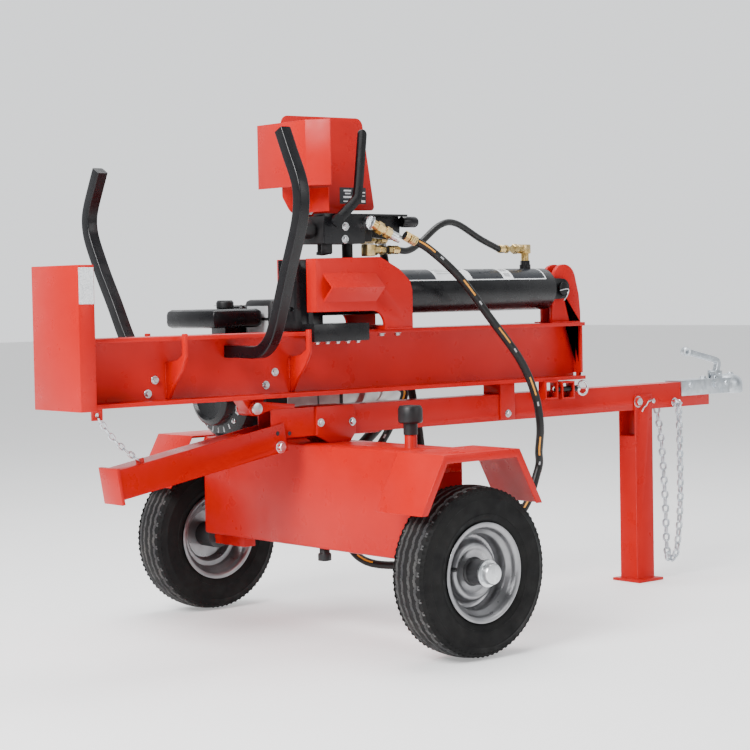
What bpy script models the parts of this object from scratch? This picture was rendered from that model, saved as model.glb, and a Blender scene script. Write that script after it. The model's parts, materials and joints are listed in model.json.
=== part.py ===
"""A towable hydraulic log splitter: two wheels, a tongue with a ball coupler, an oil tank that is the chassis,
an engine and pump on the far side, and a splitting beam that tilts from level to upright.

Metres, +Z up, +X towards the coupler, -Y is the operator's side. Every place below is measured from the axle:
X = 0 over the axle, Y = 0 in the middle of the beam, Z = 0 on the ground. The finished parts are then moved
along X so that the origin is under the middle of the machine.
"""

import math

import bmesh
import bpy
from mathutils import Vector

GAP = 0.0003

# Wheels
TYRE_RADIUS = 0.203
TYRE_WIDTH = 0.118
BEAD_RADIUS = 0.104
CASING = 0.008
HALF_TRACK = 0.523
HUB_RADIUS = 0.032
SPINDLE_RADIUS = 0.0125
AXLE_BAR = 0.036
AXLE_INNER = 0.330

# Oil tank, which is also the chassis
TANK_DEPTH = 0.168
TANK_HALF = 0.415
TANK_BASE = 0.222
TANK_TOP = 0.481
SHEET = 0.004
FILLER_Y = -0.325
FENDER_THICK = 0.003

# Tongue tube
TONGUE_HALF = 0.028
TONGUE_BASE = 0.501
TONGUE_TOP = 0.573
TONGUE_START = -0.193
TONGUE_END = 1.463
TUBE_WALL = 0.004

# Splitting beam
BEAM_TOP = 0.762
BEAM_BASE = 0.602
BEAM_HALF = 0.051
BEAM_START = -0.7377
BEAM_END = 0.903
FLANGE = 0.010
WEB_HALF = 0.004

# Foot plate that the log is pushed against
FOOT_FACE = -0.781
FOOT_BASE = 0.600
FOOT_TOP = 0.930
FOOT_HALF = 0.100

# Log arms: where each stands along the beam, and its centre line as (distance from the web's middle, height)
NEAR_ARM_X = -0.300
FAR_ARM_X = -0.5008
ARM_FLAT = 0.7195
NEAR_ARM = [(0.234, 1.238), (0.262, 1.180), (0.286, 1.132), (0.297, 1.098), (0.298, 1.060), (0.290, 1.020),
            (0.272, 0.973), (0.241, 0.899), (0.213, 0.826), (0.194, 0.779), (0.178, 0.751), (0.155, 0.730),
            (0.125, ARM_FLAT), (WEB_HALF + 0.0006, ARM_FLAT)]
FAR_ARM = [(0.236, 1.166), (0.260, 1.121), (0.281, 1.080), (0.290, 1.050), (0.288, 1.020), (0.277, 0.990),
           (0.254, 0.948), (0.228, 0.904), (0.190, 0.846), (0.164, 0.803), (0.145, 0.772), (0.123, 0.742),
           (0.098, 0.724), (0.075, ARM_FLAT), (WEB_HALF + 0.0006, ARM_FLAT)]

# Tilt hinge of the beam
TILT_X = -0.240
TILT_Z = 0.578
TILT_PIN = 0.010

# Folding rear leg
LEG_X = -0.170
LEG_Z = 0.480
LEG_LENGTH = 0.478
LEG_SLOPE = math.radians(9.7)
LEG_HALF = 0.034
LEG_ABOVE = 0.056
LEG_BELOW = 0.014
LEG_BOLT = 0.006
EYE_ALONG = 0.400
EYE_Y = -0.020
EYE_BEAM_X = -0.705
EYE_BEAM_Y = -0.045

# Front stand
STAND_X = 1.140
STAND_Z = 0.525
STAND_TUBE_TOP = 0.425
STAND_HALF = 0.0326
STAND_BOLT = 0.008

# Safety chain bolt
CHAIN_X = 1.305
CHAIN_Z = 0.515

# Latch that holds the beam down
LATCH_START = 0.800
LATCH_NEAR = -0.058
LATCH_Y = -0.044
LATCH_Z = 0.577
LATCH_PIN = 0.008

# Cylinder and ram
RAM_Z = 0.857
BARREL_RADIUS = 0.057
BARREL_BORE = 0.0508
BARREL_START = -0.010
BARREL_END = 0.785
ROD_RADIUS = 0.025
ANCHOR_X = 0.830
ANCHOR_PIN = 0.0127
EAR_INNER = 0.0245
EAR_OUTER = 0.0365
WEDGE_EDGE = -0.140
WEDGE_BACK = -0.030

# Valve
VALVE_BASE = 0.978
VALVE_TOP = 1.050
VALVE_NEAR = -0.075
VALVE_FAR = 0.020
LEVER_X = -0.030
LEVER_Z = 1.035

# Engine
CRANK_Y = 0.280
CRANK_Z = 0.600
FAN_RADIUS = 0.116
HEAD_TOP = 0.745
PUMP_OUT_X = 0.400
PUMP_IN_X = 0.430

# Coupler
COUPLER_START = 1.333
COUPLER_TIP = 1.630
BALL_X = 1.585
BALL_RADIUS = 0.0255
LEVER_PIVOT_X = 1.525
LEVER_PIVOT_Z = 0.590

# Middle of the machine, which becomes X = 0
MIDDLE_X = (FOOT_FACE + COUPLER_TIP) / 2

PAINTS = {
    "red_paint": ((0.62, 0.035, 0.025), 0.0, 0.35),
    "black_paint": ((0.02, 0.02, 0.022), 0.0, 0.4),
    "tyre_rubber": ((0.025, 0.025, 0.027), 0.0, 0.85),
    "silver_paint": ((0.55, 0.56, 0.57), 0.6, 0.35),
    "zinc_plate": ((0.6, 0.62, 0.63), 1.0, 0.38),
    "hard_chrome": ((0.8, 0.81, 0.82), 1.0, 0.1),
    "cast_aluminium": ((0.45, 0.46, 0.47), 1.0, 0.5),
    "brass": ((0.62, 0.45, 0.2), 1.0, 0.3),
    "hose_rubber": ((0.03, 0.03, 0.03), 0.0, 0.6),
    "black_plastic": ((0.03, 0.03, 0.032), 0.0, 0.45),
}


# Solids


def box(low, high):
    solid = bmesh.new()
    bmesh.ops.create_cube(solid, size=1.0)
    size = Vector(high) - Vector(low)
    bmesh.ops.scale(solid, vec=size, verts=solid.verts)
    bmesh.ops.translate(solid, vec=(Vector(low) + Vector(high)) / 2, verts=solid.verts)
    return solid


def prism(outline, axis, start, end):
    """A flat outline pushed from start to end along axis. The outline's pair is what is left of X, Y, Z."""
    solid = bmesh.new()

    def place(pair, along):
        if axis == "X":
            return (along, pair[0], pair[1])
        if axis == "Y":
            return (pair[0], along, pair[1])
        return (pair[0], pair[1], along)

    first = [solid.verts.new(place(pair, start)) for pair in outline]
    last = [solid.verts.new(place(pair, end)) for pair in outline]
    solid.faces.new(first)
    solid.faces.new(reversed(last))
    for index in range(len(outline)):
        after = (index + 1) % len(outline)
        solid.faces.new((first[after], first[index], last[index], last[after]))
    bmesh.ops.recalc_face_normals(solid, faces=solid.faces)
    return solid


def turned(profile, centre, axis, count=24, closed=False):
    """A profile of (radius, place along the axis) turned about the axis. closed makes a ring."""
    solid = bmesh.new()
    ends = {"X": Vector((1, 0, 0)), "Y": Vector((0, 1, 0)), "Z": Vector((0, 0, 1))}
    along = ends[axis]
    across = ends["Z"] if axis != "Z" else ends["X"]
    third = along.cross(across)
    rings = []
    for radius, height in profile:
        if radius == 0:
            rings.append([solid.verts.new(Vector(centre) + along * height)])
            continue
        ring = []
        for step in range(count):
            angle = 2 * math.pi * step / count
            spoke = across * math.cos(angle) + third * math.sin(angle)
            ring.append(solid.verts.new(Vector(centre) + along * height + spoke * radius))
        rings.append(ring)
    pairs = list(zip(rings, rings[1:]))
    if closed:
        pairs.append((rings[-1], rings[0]))
    for lower, upper in pairs:
        if len(lower) == len(upper) == 1:
            continue
        for step in range(count):
            after = (step + 1) % count
            if len(lower) == 1:
                solid.faces.new((lower[0], upper[step], upper[after]))
            elif len(upper) == 1:
                solid.faces.new((lower[step], upper[0], lower[after]))
            else:
                solid.faces.new((lower[step], upper[step], upper[after], lower[after]))
    bmesh.ops.recalc_face_normals(solid, faces=solid.faces)
    return solid


def rod(centre, axis, radius, start, end, count=20):
    return turned([(0, start), (radius, start), (radius, end), (0, end)], centre, axis, count)


def bar(points, half_u, half_v, side):
    """A rectangular bar along points that lie in one plane. side is the direction square to that plane."""
    side = Vector(side).normalized()
    places = [Vector(point) for point in points]
    solid = bmesh.new()
    rings = []
    for index, place in enumerate(places):
        before = places[index] - places[index - 1] if index else places[1] - places[0]
        after = places[index + 1] - place if index < len(places) - 1 else before
        tangent = (before.normalized() + after.normalized()).normalized()
        normal = tangent.cross(side)
        stretch = 1 / max(0.3, tangent.dot(after.normalized()))
        corners = ((1, 1), (1, -1), (-1, -1), (-1, 1))
        rings.append([solid.verts.new(place + normal * half_u * stretch * u + side * half_v * v) for u, v in corners])
    for lower, upper in zip(rings, rings[1:]):
        for index in range(4):
            after = (index + 1) % 4
            solid.faces.new((lower[index], lower[after], upper[after], upper[index]))
    solid.faces.new(rings[0])
    solid.faces.new(reversed(rings[-1]))
    bmesh.ops.recalc_face_normals(solid, faces=solid.faces)
    return solid


def torus(centre, axis, radius, wire, count=20):
    profile = []
    for step in range(8):
        angle = 2 * math.pi * step / 8
        profile.append((radius + wire * math.cos(angle), wire * math.sin(angle)))
    return turned(profile, centre, axis, count, closed=True)


def temporary(solid):
    mesh = bpy.data.meshes.new("temporary")
    solid.to_mesh(mesh)
    solid.free()
    piece = bpy.data.objects.new("temporary", mesh)
    bpy.context.scene.collection.objects.link(piece)
    return piece


def combined(operation, first, others):
    """Adds or cuts solids one after another and returns the one solid that is left."""
    base = temporary(first)
    tools = [temporary(other) for other in others]
    for tool in tools:
        modifier = base.modifiers.new("combine", "BOOLEAN")
        modifier.operation = operation
        modifier.solver = "EXACT"
        modifier.object = tool
    bpy.context.view_layer.update()
    evaluated = base.evaluated_get(bpy.context.evaluated_depsgraph_get())
    solid = bmesh.new()
    solid.from_mesh(evaluated.to_mesh())
    evaluated.to_mesh_clear()
    bmesh.ops.remove_doubles(solid, verts=solid.verts, dist=0.00001)
    for piece in [base, *tools]:
        bpy.data.objects.remove(piece, do_unlink=True)
    return solid


def welded(first, *others):
    return combined("UNION", first, others)


def cut(first, *others):
    return combined("DIFFERENCE", first, others)


def mirrored(solid, side):
    """The same solid on the far side when side is 1; it is drawn on the operator's side, where side is -1."""
    if side > 0:
        bmesh.ops.scale(solid, vec=(1, -1, 1), verts=solid.verts)
        bmesh.ops.recalc_face_normals(solid, faces=solid.faces)
    return solid


def arc(centre, radius, start, end, count):
    """Points on a circle from start to end, in degrees."""
    points = []
    for step in range(count + 1):
        angle = math.radians(start + (end - start) * step / count)
        points.append((centre[0] + radius * math.cos(angle), centre[1] + radius * math.sin(angle)))
    return points


# Scene


def make_materials():
    made = {}
    for name, (colour, metal, rough) in PAINTS.items():
        material = bpy.data.materials.new(name)
        material.use_nodes = True
        shader = material.node_tree.nodes["Principled BSDF"]
        shader.inputs["Base Color"].default_value = (*colour, 1)
        shader.inputs["Metallic"].default_value = metal
        shader.inputs["Roughness"].default_value = rough
        made[name] = material
    return made


def finish(name, solid, paint, pivot=(0.0, 0.0, 0.0)):
    """Puts a solid in the scene under its name, with its origin at pivot."""
    bmesh.ops.recalc_face_normals(solid, faces=solid.faces)
    bmesh.ops.translate(solid, vec=-Vector(pivot), verts=solid.verts)
    mesh = bpy.data.meshes.new(name)
    solid.to_mesh(mesh)
    solid.free()
    material = MATERIALS[paint].copy()
    material.name = name + "_" + paint
    mesh.materials.append(material)
    mesh.polygons.foreach_set("use_smooth", [True] * len(mesh.polygons))
    mesh.set_sharp_from_angle(angle=math.radians(35))
    piece = bpy.data.objects.new(name, mesh)
    piece.location = Vector(pivot) - Vector((MIDDLE_X, 0, 0))
    bpy.context.scene.collection.objects.link(piece)
    return piece


def smooth_route(points, count):
    """Evenly numbered places on a smooth curve through the points."""
    places = [Vector(point) for point in points]
    places = [2 * places[0] - places[1], *places, 2 * places[-1] - places[-2]]
    spans = len(places) - 3
    found = []
    for step in range(count + 1):
        along = min(step / count * spans, spans - 1e-9)
        span = int(along)
        t = along - span
        a, b, c, d = places[span : span + 4]
        curve = 2 * b + (c - a) * t + (2 * a - 5 * b + 4 * c - d) * t**2 + (3 * b - a - 3 * c + d) * t**3
        found.append(curve / 2)
    return found


def hose(name, points, radius, count, paint="hose_rubber"):
    """A round line through the points, straight between the first two and between the last two."""
    curve = bpy.data.curves.new(name, "CURVE")
    curve.dimensions = "3D"
    curve.bevel_depth = radius
    curve.bevel_resolution = 2
    curve.use_fill_caps = True
    route = [Vector(points[0]), *smooth_route(points[1:-1], count), Vector(points[-1])]
    spline = curve.splines.new("POLY")
    spline.points.add(len(route) - 1)
    for point, place in zip(spline.points, route):
        point.co = (place.x, place.y, place.z, 1)
    material = MATERIALS[paint].copy()
    material.name = name + "_" + paint
    curve.materials.append(material)
    piece = bpy.data.objects.new(name, curve)
    piece.location = (-MIDDLE_X, 0, 0)
    bpy.context.scene.collection.objects.link(piece)


# Wheels and axles


def wheel(side, word):
    middle = (0, side * HALF_TRACK, TYRE_RADIUS)
    half = TYRE_WIDTH / 2
    wall = 0.4 * TYRE_WIDTH
    lip = BEAD_RADIUS + 0.013
    right = [
        (BEAD_RADIUS, wall),
        (lip + 0.0005, wall),
        (lip + 0.012, half - 0.004),
        (0.5 * (lip + TYRE_RADIUS), half),
        (TYRE_RADIUS - 0.018, half - 0.005),
        (TYRE_RADIUS - 0.005, half - 0.016),
        (TYRE_RADIUS, half - 0.034),
    ]
    left = [(radius, -place) for radius, place in reversed(right)]
    inside = [
        (BEAD_RADIUS, -wall + CASING + 0.004),
        (lip + 0.008, -half + CASING + 0.006),
        (TYRE_RADIUS - 0.026, -half + CASING + 0.006),
        (TYRE_RADIUS - CASING - 0.004, -half + 0.032),
        (TYRE_RADIUS - CASING - 0.004, half - 0.032),
        (TYRE_RADIUS - 0.026, half - CASING - 0.006),
        (lip + 0.008, half - CASING - 0.006),
        (BEAD_RADIUS, wall - CASING - 0.004),
    ]
    tyre = turned(right + left + inside, middle, "Y", 40, closed=True)
    finish("tyre_" + word, tyre, "tyre_rubber", middle)

    seat = BEAD_RADIUS - GAP
    edge = wall + GAP
    bore = SPINDLE_RADIUS + 0.0003
    dish = 0.018
    profile = [
        (0, 0.084),
        (0.018, 0.084),
        (0.024, 0.078),
        (0.024, 0.066),
        (HUB_RADIUS, 0.064),
        (HUB_RADIUS, dish + 0.004),
        (0.060, dish + 0.004),
        (0.074, dish - 0.016),
        (seat - 0.018, dish - 0.016),
        (seat - 0.008, edge - 0.012),
        (seat - 0.006, edge + 0.004),
        (lip, edge + 0.004),
        (lip, edge),
        (seat, edge),
        (seat, -edge),
        (lip, -edge),
        (lip, -edge - 0.004),
        (seat - 0.006, -edge - 0.004),
        (seat - 0.008, -edge + 0.012),
        (seat - 0.018, dish - 0.021),
        (0.072, dish - 0.021),
        (0.058, dish - 0.001),
        (HUB_RADIUS, dish - 0.001),
        (HUB_RADIUS, -0.052),
        (bore, -0.052),
        (bore, 0.070),
        (0, 0.070),
    ]
    rim = turned([(radius, side * place) for radius, place in profile], middle, "Y", 24)
    finish("rim_" + word, rim, "silver_paint", middle)


def axle(side, word):
    half = AXLE_BAR / 2
    inner = side * AXLE_INNER
    shoulder = side * (HALF_TRACK - 0.061)
    square = box(
        (-half, min(inner, shoulder), TYRE_RADIUS - half),
        (half, max(inner, shoulder), TANK_BASE - GAP),
    )
    spindle = rod((0, 0, TYRE_RADIUS), "Y", SPINDLE_RADIUS, shoulder - side * 0.02, side * (HALF_TRACK + 0.066))
    finish("axle_" + word, welded(square, spindle), "red_paint")


def fender(side, word):
    inner = TANK_HALF + GAP
    outer = HALF_TRACK + TYRE_WIDTH / 2 - 0.007
    thick = FENDER_THICK
    half = 0.120
    reach = half + 0.073
    top = TANK_TOP + thick
    outline = [
        (-reach + thick, 0.350),
        (-half + thick * 0.5, top - thick),
        (half - thick * 0.5, top - thick),
        (reach - thick, 0.350),
        (reach, 0.350),
        (half, top),
        (-half, top),
        (-reach, 0.350),
    ]
    skin = prism(outline, "Y", -outer, -inner)
    lip_outline = [
        (-reach, 0.350),
        (-half, top),
        (half, top),
        (reach, 0.350),
        (reach - 0.020, 0.350),
        (half - 0.010, top - 0.020),
        (-half + 0.010, top - 0.020),
        (-reach + 0.020, 0.350),
    ]
    lip = prism(lip_outline, "Y", -outer, -outer + thick)
    flange = prism([(-0.078, top - 0.001), (0.078, top - 0.001), (0.078, 0.425), (-0.078, 0.425)], "Y",
                   -inner - thick, -inner)
    finish("fender_" + word, mirrored(welded(skin, lip, flange), side), "red_paint")


# Chassis


def oil_tank():
    half = TANK_DEPTH / 2
    shell = box((-half, -TANK_HALF, TANK_BASE), (half, TANK_HALF, TANK_TOP))
    long_edges = [edge for edge in shell.edges if abs(edge.verts[0].co.y - edge.verts[1].co.y) > 0.1]
    bmesh.ops.bevel(shell, geom=long_edges, offset=0.008, segments=2, affect="EDGES", profile=0.5)
    inside = box((-half + SHEET, -TANK_HALF + SHEET, TANK_BASE + SHEET),
                 (half - SHEET, TANK_HALF - SHEET, TANK_TOP - SHEET))
    neck = rod((0, FILLER_Y, 0), "Z", 0.0155, TANK_TOP - 0.002, 0.5407)
    mouth = rod((0, FILLER_Y, 0), "Z", 0.011, TANK_TOP - 0.020, 0.560, 16)
    return_port = rod((0, 0.030, 0.340), "X", 0.015, half - 0.002, half + 0.026, 16)
    suction_port = rod((0, 0.330, 0.300), "X", 0.018, half - 0.002, half + 0.026, 16)
    tank = cut(welded(shell, neck, return_port, suction_port), inside, mouth)
    finish("oil_tank", tank, "red_paint")


def tank_fittings():
    seat = 0.5407 + GAP
    cap = turned([(0, 0), (0.027, 0), (0.030, 0.004), (0.030, 0.034), (0.026, 0.042), (0, 0.044)],
                 (0, FILLER_Y, seat), "Z", 24)
    finish("filler_cap", cap, "black_plastic", (0, FILLER_Y, seat))
    plug = turned([(0, 0), (0.013, 0), (0.013, -0.012), (0.017, -0.014), (0.017, -0.031), (0, -0.034)],
                  (-0.060, -0.061, TANK_BASE - GAP), "Z", 16)
    finish("drain_plug", plug, "black_plastic")


def bolt_through(x, z, radius, head, reach):
    """A bolt across the tongue whose heads end at reach on both sides."""
    return turned([(0, -reach), (head, -reach), (head, -reach + 0.007), (radius, -reach + 0.007),
                   (radius, reach - 0.007), (head, reach - 0.007), (head, reach),
                   (0, reach)], (x, 0, z), "Y", 16)


def tongue_tube():
    outer = box((TONGUE_START, -TONGUE_HALF, TONGUE_BASE), (TONGUE_END, TONGUE_HALF, TONGUE_TOP))
    inner = box((TONGUE_START - 0.01, -TONGUE_HALF + TUBE_WALL, TONGUE_BASE + TUBE_WALL),
                (TONGUE_END + 0.01, TONGUE_HALF - TUBE_WALL, TONGUE_TOP - TUBE_WALL))
    lug_outline = [(LEG_X - 0.013, TONGUE_BASE + 0.002), *arc((LEG_X, LEG_Z), 0.013, 180, 360, 8),
                   (LEG_X + 0.013, TONGUE_BASE + 0.002)]
    lug = prism(lug_outline, "Y", -0.0275, 0.0275)
    leg_bolt = bolt_through(LEG_X, LEG_Z, LEG_BOLT, 0.010, LEG_HALF + 0.008)
    stand_bolt = bolt_through(STAND_X, STAND_Z, STAND_BOLT, 0.013, STAND_HALF + 0.008)
    chain_bolt = bolt_through(CHAIN_X, CHAIN_Z, 0.006, 0.009, TONGUE_HALF + 0.0065)
    finish("tongue_tube", welded(cut(outer, inner), lug, leg_bolt, stand_bolt, chain_bolt), "red_paint")


def side_plate(side, word):
    foot = TANK_TOP + GAP
    outline = [(-0.057, 0.574), (0.062, 0.574), (0.070, 0.562), (0.070, 0.502), (0.053, foot), (-0.019, foot),
               (-0.057, 0.501)]
    inner = TONGUE_HALF + GAP
    finish("side_plate_" + word, mirrored(prism(outline, "Y", -inner - 0.008, -inner), side), "red_paint")


def tilt_hinge():
    foot = TONGUE_TOP + GAP
    outline = [(-0.120, foot), (TONGUE_START, foot), (TILT_X + 0.010, TILT_Z - 0.0150),
               *arc((TILT_X, TILT_Z), 0.018, 270, 90, 8), (-0.120, foot + 0.010)]
    ears = prism(outline, "Y", -0.029, 0.029)
    slot = box((TILT_X - 0.06, -0.021, 0.50), (TONGUE_START, 0.021, 0.65))
    over = box((TONGUE_START - 0.01, -0.021, foot + 0.004), (-0.10, 0.021, 0.65))
    hole = rod((TILT_X, 0, TILT_Z), "Y", TILT_PIN + 0.0003, -0.05, 0.05)
    finish("tilt_bracket", cut(ears, slot, over, hole), "red_paint")
    face = 0.029 + GAP
    pin = turned([(0, -face - 0.007), (0.015, -face - 0.007), (0.015, -face), (TILT_PIN, -face),
    (TILT_PIN, face),
                  (0.014, face), (0.014, face + 0.007), (0, face + 0.007)], (TILT_X, 0, TILT_Z), "Y", 20)
    finish("tilt_pin", pin, "zinc_plate", (TILT_X, 0, TILT_Z))


def latch():
    wall = 0.005
    far = -TONGUE_HALF - GAP
    tube = box((LATCH_START, LATCH_NEAR, LATCH_Z - 0.027), (LATCH_START + 0.050, far, LATCH_Z + 0.022))
    inside = box((LATCH_START + wall, LATCH_NEAR - 0.01, LATCH_Z - 0.027 + wall),
                 (LATCH_START + 0.050 - wall, far + 0.01, LATCH_Z + 0.022 - wall))
    hole = rod((0, LATCH_Y, LATCH_Z), "X", LATCH_PIN + GAP, LATCH_START - 0.01, LATCH_START + 0.06, 16)
    finish("latch_housing", cut(tube, inside, hole), "red_paint")
    tip = LATCH_START - 0.0135
    shank = turned([(0, tip), (LATCH_PIN - 0.002, tip), (LATCH_PIN, tip + 0.003), (LATCH_PIN, tip + 0.0915),
                    (0, tip + 0.0915)], (0, LATCH_Y, LATCH_Z), "X", 16)
    ring = torus((tip + 0.110, LATCH_Y, LATCH_Z), "Y", 0.020, 0.0028)
    finish("latch_pin", welded(shank, ring), "zinc_plate", (tip, LATCH_Y, LATCH_Z))


def beam_rest():
    cheek = TONGUE_HALF + GAP
    outer = box((0.585, -cheek - 0.0057, 0.505), (0.640, cheek + 0.0057, BEAM_BASE - 0.0005))
    slot = box((0.580, -cheek, 0.500), (0.645, cheek, TONGUE_TOP + GAP))
    finish("beam_rest", cut(outer, slot), "red_paint")


def front_stand():
    inner = TONGUE_HALF + 0.0006
    start = STAND_X - 0.012
    end = STAND_X + 0.062
    post = box((start, -STAND_HALF, 0.006), (end, STAND_HALF, STAND_Z + 0.020))
    top_slot = box((start - 0.01, -inner, STAND_TUBE_TOP), (end + 0.01, inner, STAND_Z + 0.05))
    hollow = box((start + TUBE_WALL, -STAND_HALF + TUBE_WALL, -0.01),
                 (end - TUBE_WALL, STAND_HALF - TUBE_WALL, STAND_TUBE_TOP - TUBE_WALL))
    middle = (start + end) / 2 + 0.002
    plate = box((middle - 0.0525, -0.0525, 0), (middle + 0.0525, 0.0525, 0.008))
    vent = box((middle - 0.012, -0.012, -0.01), (middle + 0.012, 0.012, 0.02))
    hole = rod((STAND_X, 0, STAND_Z), "Y", STAND_BOLT + GAP, -0.06, 0.06, 16)
    lock_near = rod((STAND_X + 0.050, 0, STAND_Z), "Y", 0.006, -STAND_HALF - 0.016, -inner - 0.0015, 12)
    lock_far = rod((STAND_X + 0.050, 0, STAND_Z), "Y", 0.006, inner + 0.0015, STAND_HALF + 0.016, 12)
    stand = cut(welded(cut(post, top_slot, hollow), plate, lock_near, lock_far), vent, hole)
    finish("front_stand", stand, "red_paint", (STAND_X, 0, STAND_Z))


def coupler():
    cheek = TONGUE_HALF + GAP
    wall = cheek + 0.0042
    top = TONGUE_TOP + GAP + 0.004
    channel = box((COUPLER_START, -wall, 0.532), (BALL_X - 0.02, wall, top))
    centre = (BALL_X, 0, 0)
    dome = turned([(0, 0.530), (0.043, 0.530), (0.045, 0.534), (0.045, 0.562), (0.040, 0.574), (0.030, 0.582),
                   (0.015, 0.587), (0, 0.588)], centre, "Z", 28)
    over_tube = box((COUPLER_START - 0.01, -cheek, 0.50), (TONGUE_END + 0.0005, cheek, TONGUE_TOP + GAP))
    throat = box((TONGUE_END - 0.01, -0.022, 0.50), (BALL_X - 0.02, 0.022, 0.566))
    socket = turned([(0, 0.500), (BALL_RADIUS, 0.500), (BALL_RADIUS, 0.548), (BALL_RADIUS * 0.9, 0.559),
                     (BALL_RADIUS * 0.6, 0.568), (0, 0.573)], centre, "Z", 24)
    ears = box((LEVER_PIVOT_X - 0.012, -0.0185, top - 0.003),
    (LEVER_PIVOT_X + 0.012, 0.0185, LEVER_PIVOT_Z + 0.010))
    lever_slot = box((LEVER_PIVOT_X - 0.028, -0.0135, 0.560), (LEVER_PIVOT_X + 0.022, 0.0135, 0.610))
    pin = rod((LEVER_PIVOT_X, 0, LEVER_PIVOT_Z), "Y", 0.004, -0.0225, 0.0225, 12)
    body = cut(welded(channel, dome, ears), over_tube, throat, socket, lever_slot)
    finish("coupler_body", welded(body, pin), "zinc_plate")

    path = [(LEVER_PIVOT_X - 0.004, 0, LEVER_PIVOT_Z - 0.018),
            (LEVER_PIVOT_X + 0.011, 0, LEVER_PIVOT_Z + 0.032),
            (LEVER_PIVOT_X - 0.141, 0, LEVER_PIVOT_Z + 0.068)]
    arm = bar(path, 0.0065, 0.0125, (0, 1, 0))
    boss = rod((LEVER_PIVOT_X, 0, LEVER_PIVOT_Z), "Y", 0.010, -0.0125, 0.0125, 16)
    hole = rod((LEVER_PIVOT_X, 0, LEVER_PIVOT_Z), "Y", 0.0043, -0.02, 0.02, 12)
    finish("coupler_lever", cut(welded(arm, boss), hole), "zinc_plate", (LEVER_PIVOT_X, 0, LEVER_PIVOT_Z))


def leg_point(along, up):
    """A place on the folding leg: along its length from the pivot, and up square to it."""
    return (LEG_X - along * math.cos(LEG_SLOPE) - up * math.sin(LEG_SLOPE),
            LEG_Z - along * math.sin(LEG_SLOPE) + up * math.cos(LEG_SLOPE))


def leg_block(along, up, half):
    corners = [(along[0], up[0]), (along[1], up[0]), (along[1], up[1]), (along[0], up[1])]
    return prism([leg_point(*corner) for corner in corners], "Y", -half, half)


def rear_leg():
    inner = LEG_HALF - TUBE_WALL
    foot_start = LEG_LENGTH - 0.008
    outer = leg_block((-0.020, foot_start + 0.001), (-LEG_BELOW, LEG_ABOVE), LEG_HALF)
    hollow = leg_block((-0.030, foot_start - 0.002), (-LEG_BELOW + TUBE_WALL, LEG_ABOVE - TUBE_WALL), inner)
    over = leg_block((-0.030, 0.100), (0, LEG_ABOVE + 0.02), inner)
    under = leg_block((-0.030, 0.020), (-LEG_BELOW - 0.02, 0), inner)
    foot = leg_block((foot_start, LEG_LENGTH), (-LEG_BELOW - 0.011, LEG_ABOVE + 0.006), LEG_HALF + 0.005)
    hole = rod((LEG_X, 0, LEG_Z), "Y", LEG_BOLT + GAP, -0.06, 0.06, 16)
    eye = leg_block((EYE_ALONG - 0.010, EYE_ALONG + 0.010), (LEG_ABOVE - 0.001, LEG_ABOVE + 0.012), 0.003)
    bmesh.ops.translate(eye, vec=(0, EYE_Y, 0), verts=eye.verts)
    leg = welded(cut(outer, hollow, over, under, hole), foot, eye)
    finish("rear_leg", leg, "red_paint", (LEG_X, 0, LEG_Z))


def chains():
    side = TONGUE_HALF + 0.0165
    drop = [(CHAIN_X, -side, CHAIN_Z + 0.006), (CHAIN_X, -side, CHAIN_Z - 0.010),
            (CHAIN_X + 0.003, -side, CHAIN_Z - 0.120), (CHAIN_X + 0.004, -side + 0.002, CHAIN_Z - 0.300),
            (CHAIN_X, -0.030, CHAIN_Z - 0.440), (CHAIN_X + 0.002, -0.005, CHAIN_Z - 0.468),
            (CHAIN_X + 0.006, 0.013, CHAIN_Z - 0.440), (CHAIN_X + 0.009, 0.020, CHAIN_Z - 0.300),
            (CHAIN_X + 0.006, 0.030, CHAIN_Z - 0.120), (CHAIN_X, side, CHAIN_Z - 0.010),
            (CHAIN_X, side, CHAIN_Z + 0.006)]
    hose("safety_chain", drop, 0.009, 34, "zinc_plate")
    top = Vector((EYE_BEAM_X, EYE_BEAM_Y, BEAM_BASE - 0.034))
    eye_x, eye_z = leg_point(EYE_ALONG, LEG_ABOVE + 0.020)
    bottom = Vector((eye_x, EYE_Y, eye_z))
    sag = Vector((-0.006, 0, -0.006))
    hang = [top.lerp(bottom, 0.1), top.lerp(bottom, 0.5) + sag, top.lerp(bottom, 0.9)]
    hose("leg_chain", [top, *hang, bottom], 0.0055, 8, "zinc_plate")


# Engine and pump


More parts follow.
